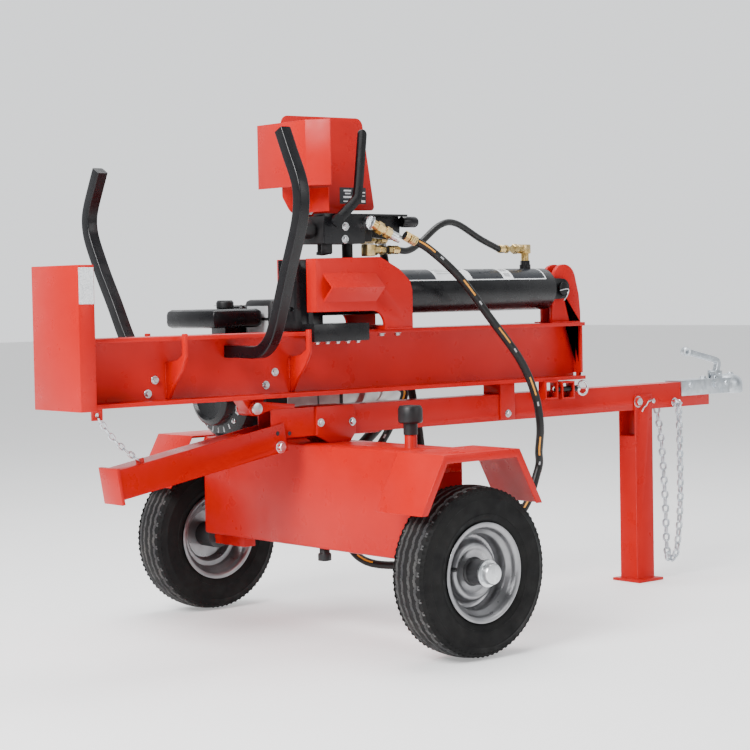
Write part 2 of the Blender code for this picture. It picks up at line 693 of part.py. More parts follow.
def engine():
    floor = TANK_TOP + GAP
    plate = box((-0.055, 0.140, floor), (0.300, 0.400, floor + 0.008))
    finish("engine_plate", plate, "red_paint")
    deck = floor + 0.008 + GAP
    crankcase = box((-0.060, CRANK_Y - 0.110, deck), (0.200, CRANK_Y + 0.110, 0.680))
    upright = [edge for edge in crankcase.edges if abs(edge.verts[0].co.x - edge.verts[1].co.x) > 0.1]
    bmesh.ops.bevel(crankcase, geom=upright, offset=0.02, segments=2, affect="EDGES", profile=0.5)
    pieces = [box((-0.025, CRANK_Y - 0.075, 0.67), (0.145, CRANK_Y + 0.070, HEAD_TOP))]
    for step in range(5):
        low = 0.687 + step * 0.0115
        pieces.append(box((-0.035, CRANK_Y - 0.085, low), (0.155, CRANK_Y + 0.080, low + 0.005)))
    sump = box((-0.050, CRANK_Y - 0.095, deck - 0.01), (0.190, CRANK_Y + 0.095, 0.665))
    bore = rod((0.060, CRANK_Y, 0), "Z", 0.034, 0.650, HEAD_TOP - 0.010, 20)
    finish("engine_block", cut(welded(crankcase, *pieces), sump, bore), "black_paint")

    face = -0.0603
    shroud = turned([(FAN_RADIUS, face), (FAN_RADIUS, face - 0.055), (FAN_RADIUS - 0.015, face - 0.070),
                     (0.082, face - 0.072), (0.080, face - 0.098), (0.066, face - 0.106),
                     (0.060, face - 0.098),
                     (0, face - 0.098), (0, face - 0.094), (0.072, face - 0.094), (0.076, face - 0.068),
                     (FAN_RADIUS - 0.018, face - 0.066), (FAN_RADIUS - 0.004, face - 0.052),
                     (FAN_RADIUS - 0.004, face)], (0, CRANK_Y, CRANK_Z), "X", 28, closed=True)
    finish("fan_shroud", shroud, "black_paint")

    top = HEAD_TOP + 0.0005
    cleaner = box((-0.030, CRANK_Y - 0.105, top), (0.130, CRANK_Y + 0.015, 0.843))
    bmesh.ops.bevel(cleaner, geom=list(cleaner.edges), offset=0.012, segments=2, affect="EDGES", profile=0.5)
    element = box((-0.018, CRANK_Y - 0.093, top - 0.01), (0.118, CRANK_Y + 0.003, 0.836))
    finish("air_cleaner", cut(cleaner, element), "black_plastic")
    muffler = box((-0.030, CRANK_Y + 0.035, top), (0.130, CRANK_Y + 0.150, 0.828))
    bmesh.ops.bevel(muffler, geom=list(muffler.edges), offset=0.014, segments=2, affect="EDGES", profile=0.5)
    outlet = rod((0.050, 0, 0.790), "Y", 0.011, CRANK_Y + 0.145, CRANK_Y + 0.158, 16)
    chamber = box((-0.018, CRANK_Y + 0.047, top + 0.012), (0.118, CRANK_Y + 0.138, 0.816))
    tailpipe = rod((0.050, 0, 0.790), "Y", 0.008, CRANK_Y + 0.130, CRANK_Y + 0.170, 16)
    finish("muffler", cut(welded(muffler, outlet), chamber, tailpipe), "black_paint")

    tank = box((-0.200, CRANK_Y - 0.085, 0.772), (-0.040, CRANK_Y + 0.135, 0.820))
    bmesh.ops.bevel(tank, geom=list(tank.edges), offset=0.014, segments=2, affect="EDGES", profile=0.5)
    strut = box((-0.125, CRANK_Y - 0.030, CRANK_Z + FAN_RADIUS + GAP), (-0.070, CRANK_Y + 0.030, 0.776))
    fuel = box((-0.188, CRANK_Y - 0.073, 0.782), (-0.052, CRANK_Y + 0.123, 0.812))
    filler = rod((-0.080, CRANK_Y + 0.030, 0), "Z", 0.015, 0.800, 0.830, 16)
    finish("fuel_tank", cut(welded(tank, strut), fuel, filler), "black_paint")
    cap = turned([(0, 0), (0.021, 0), (0.023, 0.003), (0.023, 0.017), (0.019, 0.0225), (0, 0.0225)],
                 (-0.080, CRANK_Y + 0.030, 0.8203), "Z", 20)
    finish("fuel_cap", cap, "black_plastic", (-0.080, CRANK_Y + 0.030, 0.8203))

    face -= 0.0725
    grip = box((face - 0.016, CRANK_Y - 0.078, CRANK_Z + 0.083), (face, CRANK_Y - 0.024, CRANK_Z + 0.099))
    bmesh.ops.bevel(grip, geom=list(grip.edges), offset=0.004, segments=2, affect="EDGES", profile=0.5)
    finish("starter_grip", grip, "black_plastic", (face, CRANK_Y - 0.051, CRANK_Z + 0.091))

    side = CRANK_Y - 0.110 - GAP
    throttle = welded(rod((0.080, 0, 0.640), "Y", 0.008, side - 0.004, side, 16),
                      bar([(0.080, side - 0.002, 0.640),
                      (0.080, side - 0.002, 0.690)], 0.004, 0.0015, (0, 1, 0)),
                      box((0.074, side - 0.016, 0.684), (0.086, side - 0.0005, 0.696)))
    finish("throttle_lever", throttle, "black_plastic", (0.080, side, 0.640))


def pump():
    face = 0.2003
    bell = turned([(0, face), (0.074, face), (0.074, face + 0.012), (0.052, face + 0.022),
    (0.050, face + 0.110),
                   (0.064, face + 0.118), (0.064, face + 0.1295), (0, face + 0.1295)],
                  (0, CRANK_Y, CRANK_Z), "X", 28)
    finish("pump_mount", bell, "cast_aluminium")
    start = face + 0.1298
    body = turned([(0, start), (0.048, start), (0.048, start + 0.058), (0.043, start + 0.060),
    (0.043, start + 0.064),
                   (0.048, start + 0.066), (0.048, start + 0.158), (0.042, start + 0.168),
                   (0, start + 0.168)],
                  (0, CRANK_Y, CRANK_Z), "X", 28)
    outlet = rod((PUMP_OUT_X, 0, CRANK_Z), "Y", 0.014, CRANK_Y - 0.072, CRANK_Y - 0.040, 16)
    inlet = rod((PUMP_IN_X, CRANK_Y, 0), "Z", 0.018, CRANK_Z - 0.068, CRANK_Z - 0.040, 16)
    finish("oil_pump", welded(body, outlet, inlet), "cast_aluminium")


def hoses():
    pressure = [(0.1855, -0.1052, 0.9998), (0.198, -0.1077, 0.9935), (0.259, -0.120, 0.962),
                (0.353, -0.130, 0.889),
                (0.449, -0.140, 0.783), (0.547, -0.150, 0.670), (0.601, -0.150, 0.574),
                (0.618, -0.150, 0.493), (0.632, -0.130, 0.423),
                (0.636, -0.120, 0.366), (0.560, -0.120, 0.250), (0.400, -0.070, 0.165), (0.250, 0.000, 0.141),
                (0.200, 0.100, 0.150), (0.205, 0.170, 0.210), (0.245, 0.175, 0.330), (0.345, 0.150, 0.490),
                (0.395, 0.145, 0.575), (PUMP_OUT_X, 0.175, CRANK_Z), (PUMP_OUT_X, CRANK_Y - 0.0725, CRANK_Z)]
    hose("pressure_hose", pressure, 0.011, 54)
    back = [(0.1785, 0.004, 0.995), (0.205, 0.004, 0.995), (0.262, 0.070, 0.975), (0.300, 0.095, 0.900),
            (0.345, 0.100, 0.750), (0.378, 0.095, 0.586), (0.400, 0.090, 0.460), (0.370, 0.060, 0.370),
            (0.250, 0.035, 0.338), (0.160, 0.030, 0.340), (TANK_DEPTH / 2 + 0.0265, 0.030, 0.340)]
    hose("return_hose", back, 0.011, 34)
    work = [(0.1655, -0.060, 0.964), (0.195, -0.060, 0.964), (0.245, -0.052, 0.963), (0.300, -0.040, 0.985),
            (0.377, -0.030, 1.030), (0.444, -0.020, 1.035), (0.541, -0.010, 0.995), (0.620, 0.000, 0.968),
            (0.6555, 0.000, 0.968)]
    hose("work_hose", work, 0.009, 24)
    suction = [(TANK_DEPTH / 2 + 0.0265, 0.330, 0.300), (0.160, 0.330, 0.300), (0.290, 0.330, 0.350),
               (0.385, 0.320, 0.430), (PUMP_IN_X, CRANK_Y, 0.495), (PUMP_IN_X, CRANK_Y, CRANK_Z - 0.0685)]
    hose("suction_hose", suction, 0.016, 18)


# Splitting beam and everything it carries


def beam():
    half = BEAM_HALF
    outline = [(-half, BEAM_BASE), (half, BEAM_BASE), (half, BEAM_BASE + FLANGE),
               (WEB_HALF, BEAM_BASE + FLANGE),
               (WEB_HALF, BEAM_TOP - FLANGE), (half, BEAM_TOP - FLANGE), (half, BEAM_TOP), (-half, BEAM_TOP),
               (-half, BEAM_TOP - FLANGE), (-WEB_HALF, BEAM_TOP - FLANGE), (-WEB_HALF, BEAM_BASE + FLANGE),
               (-half, BEAM_BASE + FLANGE)]
    section = prism(outline, "X", BEAM_START, BEAM_END)
    lug_outline = [(TILT_X - 0.037, BEAM_BASE + 0.002), *arc((TILT_X, TILT_Z), 0.018, 180, 360, 10),
                   (TILT_X + 0.035, BEAM_BASE + 0.002)]
    lug = prism(lug_outline, "Y", -0.0207, 0.0207)
    pin_hole = rod((TILT_X, 0, TILT_Z), "Y", TILT_PIN + 0.0003, -0.05, 0.05)
    eye = box((EYE_BEAM_X - 0.014, EYE_BEAM_Y - 0.003, BEAM_BASE - 0.026),
              (EYE_BEAM_X + 0.014, EYE_BEAM_Y + 0.003, BEAM_BASE + 0.001))
    eye_hole = rod((EYE_BEAM_X, 0, BEAM_BASE - 0.014), "Y", 0.006, -0.06, -0.03, 12)
    keeper = box((LATCH_START - 0.065, LATCH_NEAR, LATCH_Z - 0.025),
    (LATCH_START - 0.015, -0.030, BEAM_BASE + 0.001))
    keeper_inside = box((LATCH_START - 0.060, LATCH_NEAR - 0.01, LATCH_Z - 0.020),
                        (LATCH_START - 0.020, -0.029, BEAM_BASE - 0.004))
    keeper_hole = rod((0, LATCH_Y, LATCH_Z), "X", LATCH_PIN + 0.0005, LATCH_START - 0.03, LATCH_START, 16)
    keeper = cut(keeper, keeper_inside, keeper_hole)
    finish("splitting_beam", cut(welded(section, lug, eye, keeper), pin_hole, eye_hole), "red_paint",
           (TILT_X, 0, TILT_Z))


def foot_plate():
    outer = box((FOOT_FACE, -FOOT_HALF, FOOT_BASE), (BEAM_START - GAP, FOOT_HALF, FOOT_TOP))
    hollow = box((FOOT_FACE + 0.008, -FOOT_HALF + 0.008, FOOT_BASE - 0.01),
                 (BEAM_START - GAP - 0.008, FOOT_HALF - 0.008, FOOT_TOP - 0.008))
    finish("foot_plate", cut(outer, hollow), "red_paint")


def tray_hook(x, side, name):
    """A hook shaped plate that stands out of the web and holds a log tray."""
    outline = [(-0.0045, 0.6125), (-0.0045, 0.700), (-0.050, 0.706), (-0.071, 0.719), (-0.071, 0.768),
               (-0.084, 0.768), (-0.084, 0.712), (-0.065, 0.680), (-0.035, 0.650), (-0.010, 0.6125)]
    finish(name, mirrored(prism(outline, "X", x - 0.005, x + 0.005), side), "red_paint")


def log_arm(x, side, name, route):
    """A square bar bent to cradle a log. Its route runs from the top down to a flat run that ends at the web."""
    path = [(x, side * across, height) for across, height in route]
    finish(name, bar(path, 0.015, 0.015, (1, 0, 0)), "black_paint")


def stripper(side, word):
    low = BEAM_TOP + GAP
    plate_outline = [(-0.076, 0.810), (-0.076, 0.943), (0.126, 0.946), (0.190, 0.915), (0.226, 0.884),
                     (0.233, 0.860),
                     (0.233, low), (0.138, low), *arc((0.100, 0.772), 0.038, 0, 90, 8)]
    plate = prism(plate_outline, "Y", -0.078, -0.070)
    foot = box((0.138, -0.077, low), (0.233, -0.030, low + 0.0097))
    lip = box((-0.084, -0.078, 0.810), (-0.075, -0.040, 0.943))
    angle_outline = [(-0.077, 0.833), (-0.115, 0.870), (-0.077, 0.907), (-0.077, 0.900), (-0.108, 0.870),
                     (-0.077, 0.840)]
    angle_iron = prism(angle_outline, "X", -0.060, 0.110)
    finish("stripper_" + word, mirrored(welded(plate, foot, lip, angle_iron), side), "red_paint")


def cylinder():
    centre = (0, 0, RAM_Z)
    barrel = rod(centre, "X", BARREL_RADIUS, BARREL_START, BARREL_END, 36)
    ear_outline = [(BARREL_END - 0.01, RAM_Z - 0.030), *arc((ANCHOR_X, RAM_Z), 0.028, -90, 90, 10),
                   (BARREL_END - 0.01, RAM_Z + 0.030)]
    ear_near = prism(ear_outline, "Y", -EAR_OUTER, -EAR_INNER)
    ear_far = prism(ear_outline, "Y", EAR_INNER, EAR_OUTER)
    pin_hole = rod((ANCHOR_X, 0, RAM_Z), "Y", ANCHOR_PIN + GAP, -0.06, 0.06)
    bore = rod(centre, "X", BARREL_BORE, BARREL_START + 0.040, BARREL_END - 0.020, 36)
    gland = rod(centre, "X", ROD_RADIUS + 0.0008, BARREL_START - 0.01, BARREL_START + 0.05, 28)
    finish("cylinder_barrel", cut(welded(barrel, ear_near, ear_far), bore, gland, pin_hole), "black_paint")

    plate_outline = [(0.800, BEAM_TOP + GAP), (0.8000, 0.880), *arc((0.850, 0.880), 0.045, 150, 20, 8),
                     (0.908, 0.840), (BEAM_END + 0.0103, 0.790), (BEAM_END + 0.0103, 0.600),
                     (BEAM_END + GAP, 0.600), (BEAM_END + GAP, BEAM_TOP + GAP)]
    near = prism(plate_outline, "Y", -EAR_INNER + GAP, -EAR_INNER + GAP + 0.012)
    far = prism(plate_outline, "Y", EAR_INNER - GAP - 0.012, EAR_INNER - GAP)
    end = box((BEAM_END + GAP, -0.033, 0.620), (BEAM_END + 0.0083, 0.033, 0.760))
    hole = rod((ANCHOR_X, 0, RAM_Z), "Y", ANCHOR_PIN + GAP, -0.05, 0.05)
    finish("cylinder_anchor", cut(welded(near, end, far), hole), "red_paint")
    face = EAR_OUTER + GAP
    pin = turned([(0, -face - 0.006), (0.018, -face - 0.006), (0.018, -face), (ANCHOR_PIN, -face), (ANCHOR_PIN, face),
                  (0.017, face), (0.017, face + 0.006), (0, face + 0.006)], (ANCHOR_X, 0, RAM_Z), "Y", 20)
    finish("anchor_pin", pin, "zinc_plate")
    elbow = welded(rod((0.720, 0, 0), "Z", 0.013, RAM_Z + BARREL_RADIUS + 0.0007, 0.974, 16),
                   rod((0, 0, 0.968), "X", 0.011, 0.656, 0.725, 16))
    finish("rear_port_elbow", elbow, "brass")


def ram():
    rod_start = WEDGE_BACK + GAP
    profile = [(0, rod_start), (ROD_RADIUS, rod_start), (ROD_RADIUS, 0.610), (BARREL_BORE - 0.0005, 0.610),
               (BARREL_BORE - 0.0005, 0.640), (0, 0.640)]
    finish("ram_rod", turned(profile, (0, 0, RAM_Z), "X", 32), "hard_chrome", (WEDGE_BACK, 0, RAM_Z))

    blade_outline = [(WEDGE_EDGE, -0.0015), (WEDGE_EDGE + 0.042, -0.019), (WEDGE_BACK - 0.012, -0.019),
                     (WEDGE_BACK - 0.012, 0.019), (WEDGE_EDGE + 0.042, 0.019), (WEDGE_EDGE, 0.0015)]
    blade = prism(blade_outline, "Z", BEAM_TOP + 0.0045, 0.940)
    eye = rod((WEDGE_EDGE + 0.028, 0, 0.818), "Y", 0.006, -0.03, 0.03, 12)
    low = BEAM_TOP + 0.0005
    under = BEAM_TOP - FLANGE - 0.0005
    slide = box((WEDGE_EDGE + 0.057, -0.066, 0.736), (0.096, 0.066, 0.780))
    over_flange = box((-0.2, -BEAM_HALF - 0.0005, under), (0.2, BEAM_HALF + 0.0005, low))
    over_web = box((-0.2, -0.030, 0.70), (0.2, 0.030, low - 0.001))
    block = box((WEDGE_BACK - 0.032, -0.036, 0.778), (WEDGE_BACK, 0.036, 0.900))
    wedge = cut(welded(cut(slide, over_flange, over_web), blade, block), eye)
    finish("splitting_wedge", wedge, "black_paint", (WEDGE_BACK, 0, RAM_Z))


def valve():
    inlet = Vector((0.023, -0.0215, 0.003)).cross(Vector((0.0767, -0.0155, -0.0388)))
    block = box((-0.035, VALVE_NEAR, VALVE_BASE), (0.100, VALVE_FAR, VALVE_TOP))
    bmesh.ops.bevel(block, geom=list(block.edges), offset=0.003, segments=1, affect="EDGES", profile=0.5)
    middle = (VALVE_NEAR + VALVE_FAR) / 2
    parts = [
        rod((0, middle, 1.014), "X", 0.024, -0.095, -0.030, 24),
        box((0.095, -0.070, 1.020), (0.225, -0.030, 1.055)),
        rod((0, -0.045, 1.000), "X", 0.016, 0.095, 0.190, 16),
        rod((0, -0.050, 1.037), "X", 0.014, 0.220, 0.275, 16),
        rod((0.060, 0, 0), "Z", 0.014, RAM_Z + BARREL_RADIUS + 0.0007, VALVE_BASE + 0.002, 16),
        rod((LEVER_X, 0, LEVER_Z), "Y", 0.009, -0.0957, VALVE_NEAR + 0.004, 16),
        rod((0, 0.004, 0.995), "X", 0.012, 0.095, 0.178, 16),
        box((0.060, -0.072, 0.955), (0.090, -0.048, VALVE_BASE + 0.004)),
        rod((0, -0.060, 0.964), "X", 0.010, 0.085, 0.165, 16),
        bar([(0.085, -0.068, 1.036), (0.108, -0.0895, 1.039), (0.1847, -0.105, 1.0002)], 0.011, 0.011, inlet),
    ]
    body = block
    for part in parts:
        body = welded(body, part)
    finish("control_valve", body, "black_paint")

    route = [(LEVER_X, -0.100, LEVER_Z), (0.035, -0.100, 1.090), (0.055, -0.100, 1.250)]
    handle = bar(route, 0.012, 0.004, (0, 1, 0))
    hub = rod((LEVER_X, 0, LEVER_Z), "Y", 0.016, -0.104, -0.096, 20)
    knob = rod((0.055, 0, 1.250), "Y", 0.0135, -0.1045, -0.0955, 20)
    finish("control_lever", welded(handle, hub, knob), "black_paint", (LEVER_X, -0.100, LEVER_Z))


def guards():
    outline = [(-0.105, 1.094), (-0.105, 1.292), (-0.097, 1.300), (0.147, 1.305), (0.156, 1.297),
               (0.195, 1.078),
               (0.188, 1.070), (0.100, 1.066), (0.100, 1.030), (-0.030, 1.030), (-0.030, 1.058),
               (-0.075, 1.056)]
    panel = prism(outline, "Y", VALVE_FAR + 0.0005, VALVE_FAR + 0.0045)
    flap = box((-0.042, -0.082, 1.0585), (-0.039, VALVE_FAR + 0.002, 1.118))
    finish("valve_guard", welded(panel, flap), "red_paint")
    half = 0.080
    middle = 1.200
    route = [(-0.120, 0.100, middle), (-0.120, -0.093, middle), (-0.086, -0.148, middle)]
    hood = bar(route, 0.0015, half, (0, 0, 1))
    bracket = box((-0.1195, 0.004, 1.125), (-0.088, VALVE_FAR + 0.0002, 1.155))
    finish("lever_guard", welded(hood, bracket), "red_paint")


def build():
    for piece in list(bpy.data.objects):
        bpy.data.objects.remove(piece, do_unlink=True)
    for side, word in ((-1, "near"), (1, "far")):
        wheel(side, word)
        axle(side, word)
        fender(side, word)
        side_plate(side, word)
        stripper(side, word)
        tray_hook(-0.480, side, "rear_hook_" + word)
        tray_hook(-0.110, side, "front_hook_" + word)
    oil_tank()
    tank_fittings()
    tongue_tube()
    tilt_hinge()
    latch()
    beam_rest()
    front_stand()
    coupler()
    rear_leg()
    chains()
    engine()
    pump()
    hoses()
    beam()
    foot_plate()
    log_arm(NEAR_ARM_X, -1, "log_arm_near", NEAR_ARM)
    log_arm(FAR_ARM_X, 1, "log_arm_far", FAR_ARM)
    cylinder()
    ram()
    valve()
    guards()


MATERIALS = make_materials()
build()
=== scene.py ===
"""Looks for the log splitter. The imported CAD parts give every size; this file gives them paint, rounded edges,
tread, chain links, bolts, hose ends and the other small things. Lengths in metres, measured from the axle:
X = 0 over the axle, Y = 0 in the middle of the beam, Z = 0 on the ground.
"""

import json
import math

import bmesh
import bpy
import numpy as np
from mathutils import Matrix, Vector


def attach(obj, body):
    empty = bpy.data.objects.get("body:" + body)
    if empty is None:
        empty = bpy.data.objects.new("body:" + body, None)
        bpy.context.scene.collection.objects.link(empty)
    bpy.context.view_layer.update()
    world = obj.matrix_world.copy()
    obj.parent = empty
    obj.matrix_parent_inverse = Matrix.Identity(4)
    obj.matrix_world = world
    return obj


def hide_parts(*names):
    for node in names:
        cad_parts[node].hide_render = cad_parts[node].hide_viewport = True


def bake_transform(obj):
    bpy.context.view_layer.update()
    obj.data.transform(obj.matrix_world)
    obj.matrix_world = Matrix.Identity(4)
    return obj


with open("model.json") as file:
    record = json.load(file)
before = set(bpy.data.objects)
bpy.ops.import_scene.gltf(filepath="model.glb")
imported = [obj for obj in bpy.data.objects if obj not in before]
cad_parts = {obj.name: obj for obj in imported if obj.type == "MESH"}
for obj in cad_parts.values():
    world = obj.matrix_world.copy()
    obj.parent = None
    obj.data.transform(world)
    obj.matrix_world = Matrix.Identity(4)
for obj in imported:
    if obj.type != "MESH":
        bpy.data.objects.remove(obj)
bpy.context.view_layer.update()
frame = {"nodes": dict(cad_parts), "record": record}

# The row's origin is this far ahead of the axle.
MIDDLE_X = 0.4245
SHIFT = Vector((-MIDDLE_X, 0, 0))

# Places that several pieces share
TYRE_RADIUS = 0.203
HALF_TRACK = 0.523
FILLER_Y = -0.325
BARREL_RADIUS = 0.057
BARREL_Z = 0.857
REAR_PORT_X = 0.72
VALVE_FACE = -0.0752
LEVER_X = -0.03
LEVER_Z = 1.035
LATCH = Vector((0.7865, -0.044, 0.577))
COUPLER_PIVOT = Vector((1.525, 0, 0.59))
CHAIN_X = 1.305
CHAIN_Y = 0.0445
STAND_Z = 0.525
CRANK_Y = 0.28
CRANK_Z = 0.6
CRANKCASE_SIDE = CRANK_Y - 0.1103
SHROUD_X = -0.0603
HEAD_START = -0.03

# Camera: its place, its angles in radians, and its lens and sensor in millimetres
CAMERA_PLACE = Vector((-3.085, -3.816, 0.857))
CAMERA_AZIMUTH = -0.7059
CAMERA_ELEVATION = 0.0427
CAMERA_ROLL = -0.0188
CAMERA_LENS = 93.1795
SENSOR_WIDTH = 36

NODES = frame["nodes"]
BODY_OF = {node: body for body, nodes in frame["record"]["behaviour"]["bodies"].items() for node in nodes}


# Materials


class Shader:
    """A new Principled material and short ways to add nodes to it."""

    def __init__(self, name, colour, metal=0.0, rough=0.4, shine=0.35):
        self.material = bpy.data.materials.new(name)
        self.material.use_nodes = True
        self.tree = self.material.node_tree
        self.bsdf = self.tree.nodes["Principled BSDF"]
        self.bsdf.inputs["Base Color"].default_value = (*colour, 1)
        self.bsdf.inputs["Metallic"].default_value = metal
        self.bsdf.inputs["Roughness"].default_value = rough
        self.bsdf.inputs["Specular IOR Level"].default_value = shine
        self.where = self.tree.nodes.new("ShaderNodeTexCoord").outputs["Object"]
        self.height = None

    def stretched(self, scale):
        node = self.tree.nodes.new("ShaderNodeMapping")
        node.inputs["Scale"].default_value = scale
        self.tree.links.new(self.where, node.inputs["Vector"])
        return node.outputs["Vector"]

    def noise(self, scale, detail=4.0, stretch=None, rough=0.55):
        node = self.tree.nodes.new("ShaderNodeTexNoise")
        node.inputs["Scale"].default_value = scale
        node.inputs["Detail"].default_value = detail
        node.inputs["Roughness"].default_value = rough
        source = self.stretched(stretch) if stretch else self.where
        self.tree.links.new(source, node.inputs["Vector"])
        return node.outputs["Fac"]

    def cells(self, scale):
        node = self.tree.nodes.new("ShaderNodeTexVoronoi")
        node.inputs["Scale"].default_value = scale
        self.tree.links.new(self.where, node.inputs["Vector"])
        return node.outputs["Color"]

    def spread(self, value, low, high, start=0.3, end=0.7):
        node = self.tree.nodes.new("ShaderNodeMapRange")
        node.inputs["From Min"].default_value = start
        node.inputs["From Max"].default_value = end
        node.inputs["To Min"].default_value = low
        node.inputs["To Max"].default_value = high
        self.tree.links.new(value, node.inputs["Value"])
        return node.outputs["Result"]

    def tint(self, value, stops):
        """A colour from a value through stops of (place, colour)."""
        node = self.tree.nodes.new("ShaderNodeValToRGB")
        ramp = node.color_ramp
        while len(ramp.elements) < len(stops):
            ramp.elements.new(0.5)
        for element, (place, colour) in zip(ramp.elements, stops):
            element.position = place
            element.color = (*colour, 1)
        self.tree.links.new(value, node.inputs["Fac"])
        return node.outputs["Color"]

    def blended(self, share, first, second):
        node = self.tree.nodes.new("ShaderNodeMix")
        node.data_type = "RGBA"
        self.tree.links.new(share, node.inputs["Factor"])
        for socket, colour in ((node.inputs[6], first), (node.inputs[7], second)):
            if isinstance(colour, tuple):
                socket.default_value = (*colour, 1)
            else:
                self.tree.links.new(colour, socket)
        return node.outputs[2]

    def colour(self, source):
        self.tree.links.new(source, self.bsdf.inputs["Base Color"])
        return self

    def roughness(self, source):
        self.tree.links.new(source, self.bsdf.inputs["Roughness"])
        return self

    def bump(self, value, distance, strength=1.0):
        node = self.tree.nodes.new("ShaderNodeBump")
        node.inputs["Distance"].default_value = distance
        node.inputs["Strength"].default_value = strength
        self.tree.links.new(value, node.inputs["Height"])
        if self.height:
            self.tree.links.new(self.height, node.inputs["Normal"])
        self.height = node.outputs["Normal"]
        self.tree.links.new(self.height, self.bsdf.inputs["Normal"])
        return self


def mottled(shader, cloud, stops, wear, rough, grain):
    """Clouded colour, uneven roughness and fine relief. cloud and wear are (scale, detail) of a noise, stops
    are the colours, rough is the range of roughness, and grain is (scale, detail, distance, strength)."""
    shader.colour(shader.tint(shader.noise(*cloud), stops))
    shader.roughness(shader.spread(shader.noise(*wear), *rough))
    shader.bump(shader.noise(*grain[:2]), *grain[2:])
    return shader.material


def red_paint():
    s = Shader("red_enamel", (0.47, 0.004, 0.003), 0.0, 0.32, 0.2)
    cloud = s.tint(s.noise(3.5), [(0.3, (0.44, 0.003, 0.002)), (0.7, (0.52, 0.006, 0.004))])
    dust = s.spread(s.noise(14, 8), 0.0, 0.06, 0.5, 0.85)
    s.colour(s.blended(dust, cloud, (0.34, 0.04, 0.03)))
    s.roughness(s.spread(s.noise(22, 6), 0.24, 0.4))
    s.bump(s.noise(420, 2), 0.0001, 0.25)
    s.bump(s.noise(5, 2), 0.001, 0.08)
    return s.material


def black_paint():
    s = Shader("black_enamel", (0.004, 0.004, 0.005), 0.0, 0.3, 0.3)
    stops = [(0.35, (0.003, 0.003, 0.004)), (0.75, (0.008, 0.008, 0.009))]
    return mottled(s, (12, 7), stops, (30, 6), (0.2, 0.38), (500, 2, 0.0001, 0.25))


def cast_black():
    s = Shader("black_casting", (0.006, 0.006, 0.007), 0.0, 0.5, 0.25)
    stops = [(0.35, (0.005, 0.005, 0.006)), (0.8, (0.018, 0.018, 0.018))]
    return mottled(s, (25, 7), stops, (50, 6), (0.38, 0.62), (330, 5, 0.0004, 0.5))


def rubber(name, shade, grain):
    s = Shader(name, (shade, shade, shade * 1.06), 0.0, 0.7, 0.15)
    low = (shade * 0.8, shade * 0.8, shade * 0.86)
    high = (shade * 1.9, shade * 1.85, shade * 1.75)
    return mottled(s, (16, 8), [(0.35, low), (0.8, high)], (40, 6), (0.52, 0.8), (grain, 3, 0.0003, 0.4))


def hose_cover():
    s = Shader("hose_cover", (0.006, 0.006, 0.007), 0.0, 0.5, 0.3)
    stops = [(0.35, (0.005, 0.005, 0.005)), (0.8, (0.013, 0.013, 0.013))]
    return mottled(s, (30, 6), stops, (60, 4), (0.3, 0.5), (900, 2, 0.00025, 0.6))


def zinc(name, low, high, rough):
    s = Shader(name, (0.6, 0.62, 0.64), 1.0, rough)
    spangle = s.tint(s.cells(95), [(0.1, low), (0.9, high)])
    s.colour(s.blended(s.spread(s.noise(18, 6), 0.0, 0.5), spangle, (0.52, 0.53, 0.53)))
    s.roughness(s.spread(s.noise(26, 6), rough - 0.08, rough + 0.16))
    s.bump(s.noise(160, 5), 0.0003, 0.3)
    return s.material


def chrome():
    s = Shader("hard_chrome", (0.82, 0.83, 0.84), 1.0, 0.08)
    s.roughness(s.spread(s.noise(60, 4, (0.3, 6, 6)), 0.05, 0.14))
    s.bump(s.noise(300, 2, (0.1, 3, 3)), 0.00005, 0.2)
    return s.material


def silver_paint():
    s = Shader("silver_rim_paint", (0.38, 0.38, 0.39), 0.9, 0.34)
    stops = [(0.3, (0.24, 0.24, 0.25)), (0.7, (0.36, 0.36, 0.37))]
    return mottled(s, (14, 6), stops, (40, 5), (0.26, 0.44), (700, 2, 0.0001, 0.4))


def aluminium():
    s = Shader("cast_aluminium", (0.42, 0.42, 0.42), 0.9, 0.5)
    stops = [(0.3, (0.3, 0.3, 0.3)), (0.7, (0.5, 0.5, 0.49))]
    return mottled(s, (30, 7), stops, (60, 5), (0.38, 0.62), (380, 5, 0.0004, 0.5))


def brass():
    s = Shader("yellow_zinc", (0.62, 0.44, 0.16), 1.0, 0.32)
    stops = [(0.3, (0.52, 0.34, 0.11)), (0.55, (0.68, 0.5, 0.22)), (0.8, (0.6, 0.48, 0.34))]
    return mottled(s, (40, 6), stops, (80, 5), (0.22, 0.44), (500, 3, 0.0001, 0.3))


def plastic(name, colour, rough=0.45):
    s = Shader(name, colour, 0.0, rough)
    brighter = tuple(min(1.0, c * 1.25 + 0.004) for c in colour)
    stops = [(0.35, colour), (0.8, brighter)]
    return mottled(s, (20, 6), stops, (50, 5), (rough - 0.08, rough + 0.14), (800, 2, 0.00015, 0.4))


def reflector():
    s = Shader("reflective_tape", (0.75, 0.78, 0.8), 0.35, 0.3)
    s.colour(s.tint(s.cells(420), [(0.2, (0.62, 0.65, 0.68)), (0.8, (0.85, 0.87, 0.88))]))
    s.roughness(s.spread(s.noise(60, 3), 0.22, 0.36))
    s.bump(s.noise(420, 2), 0.0002, 0.5)
    return s.material


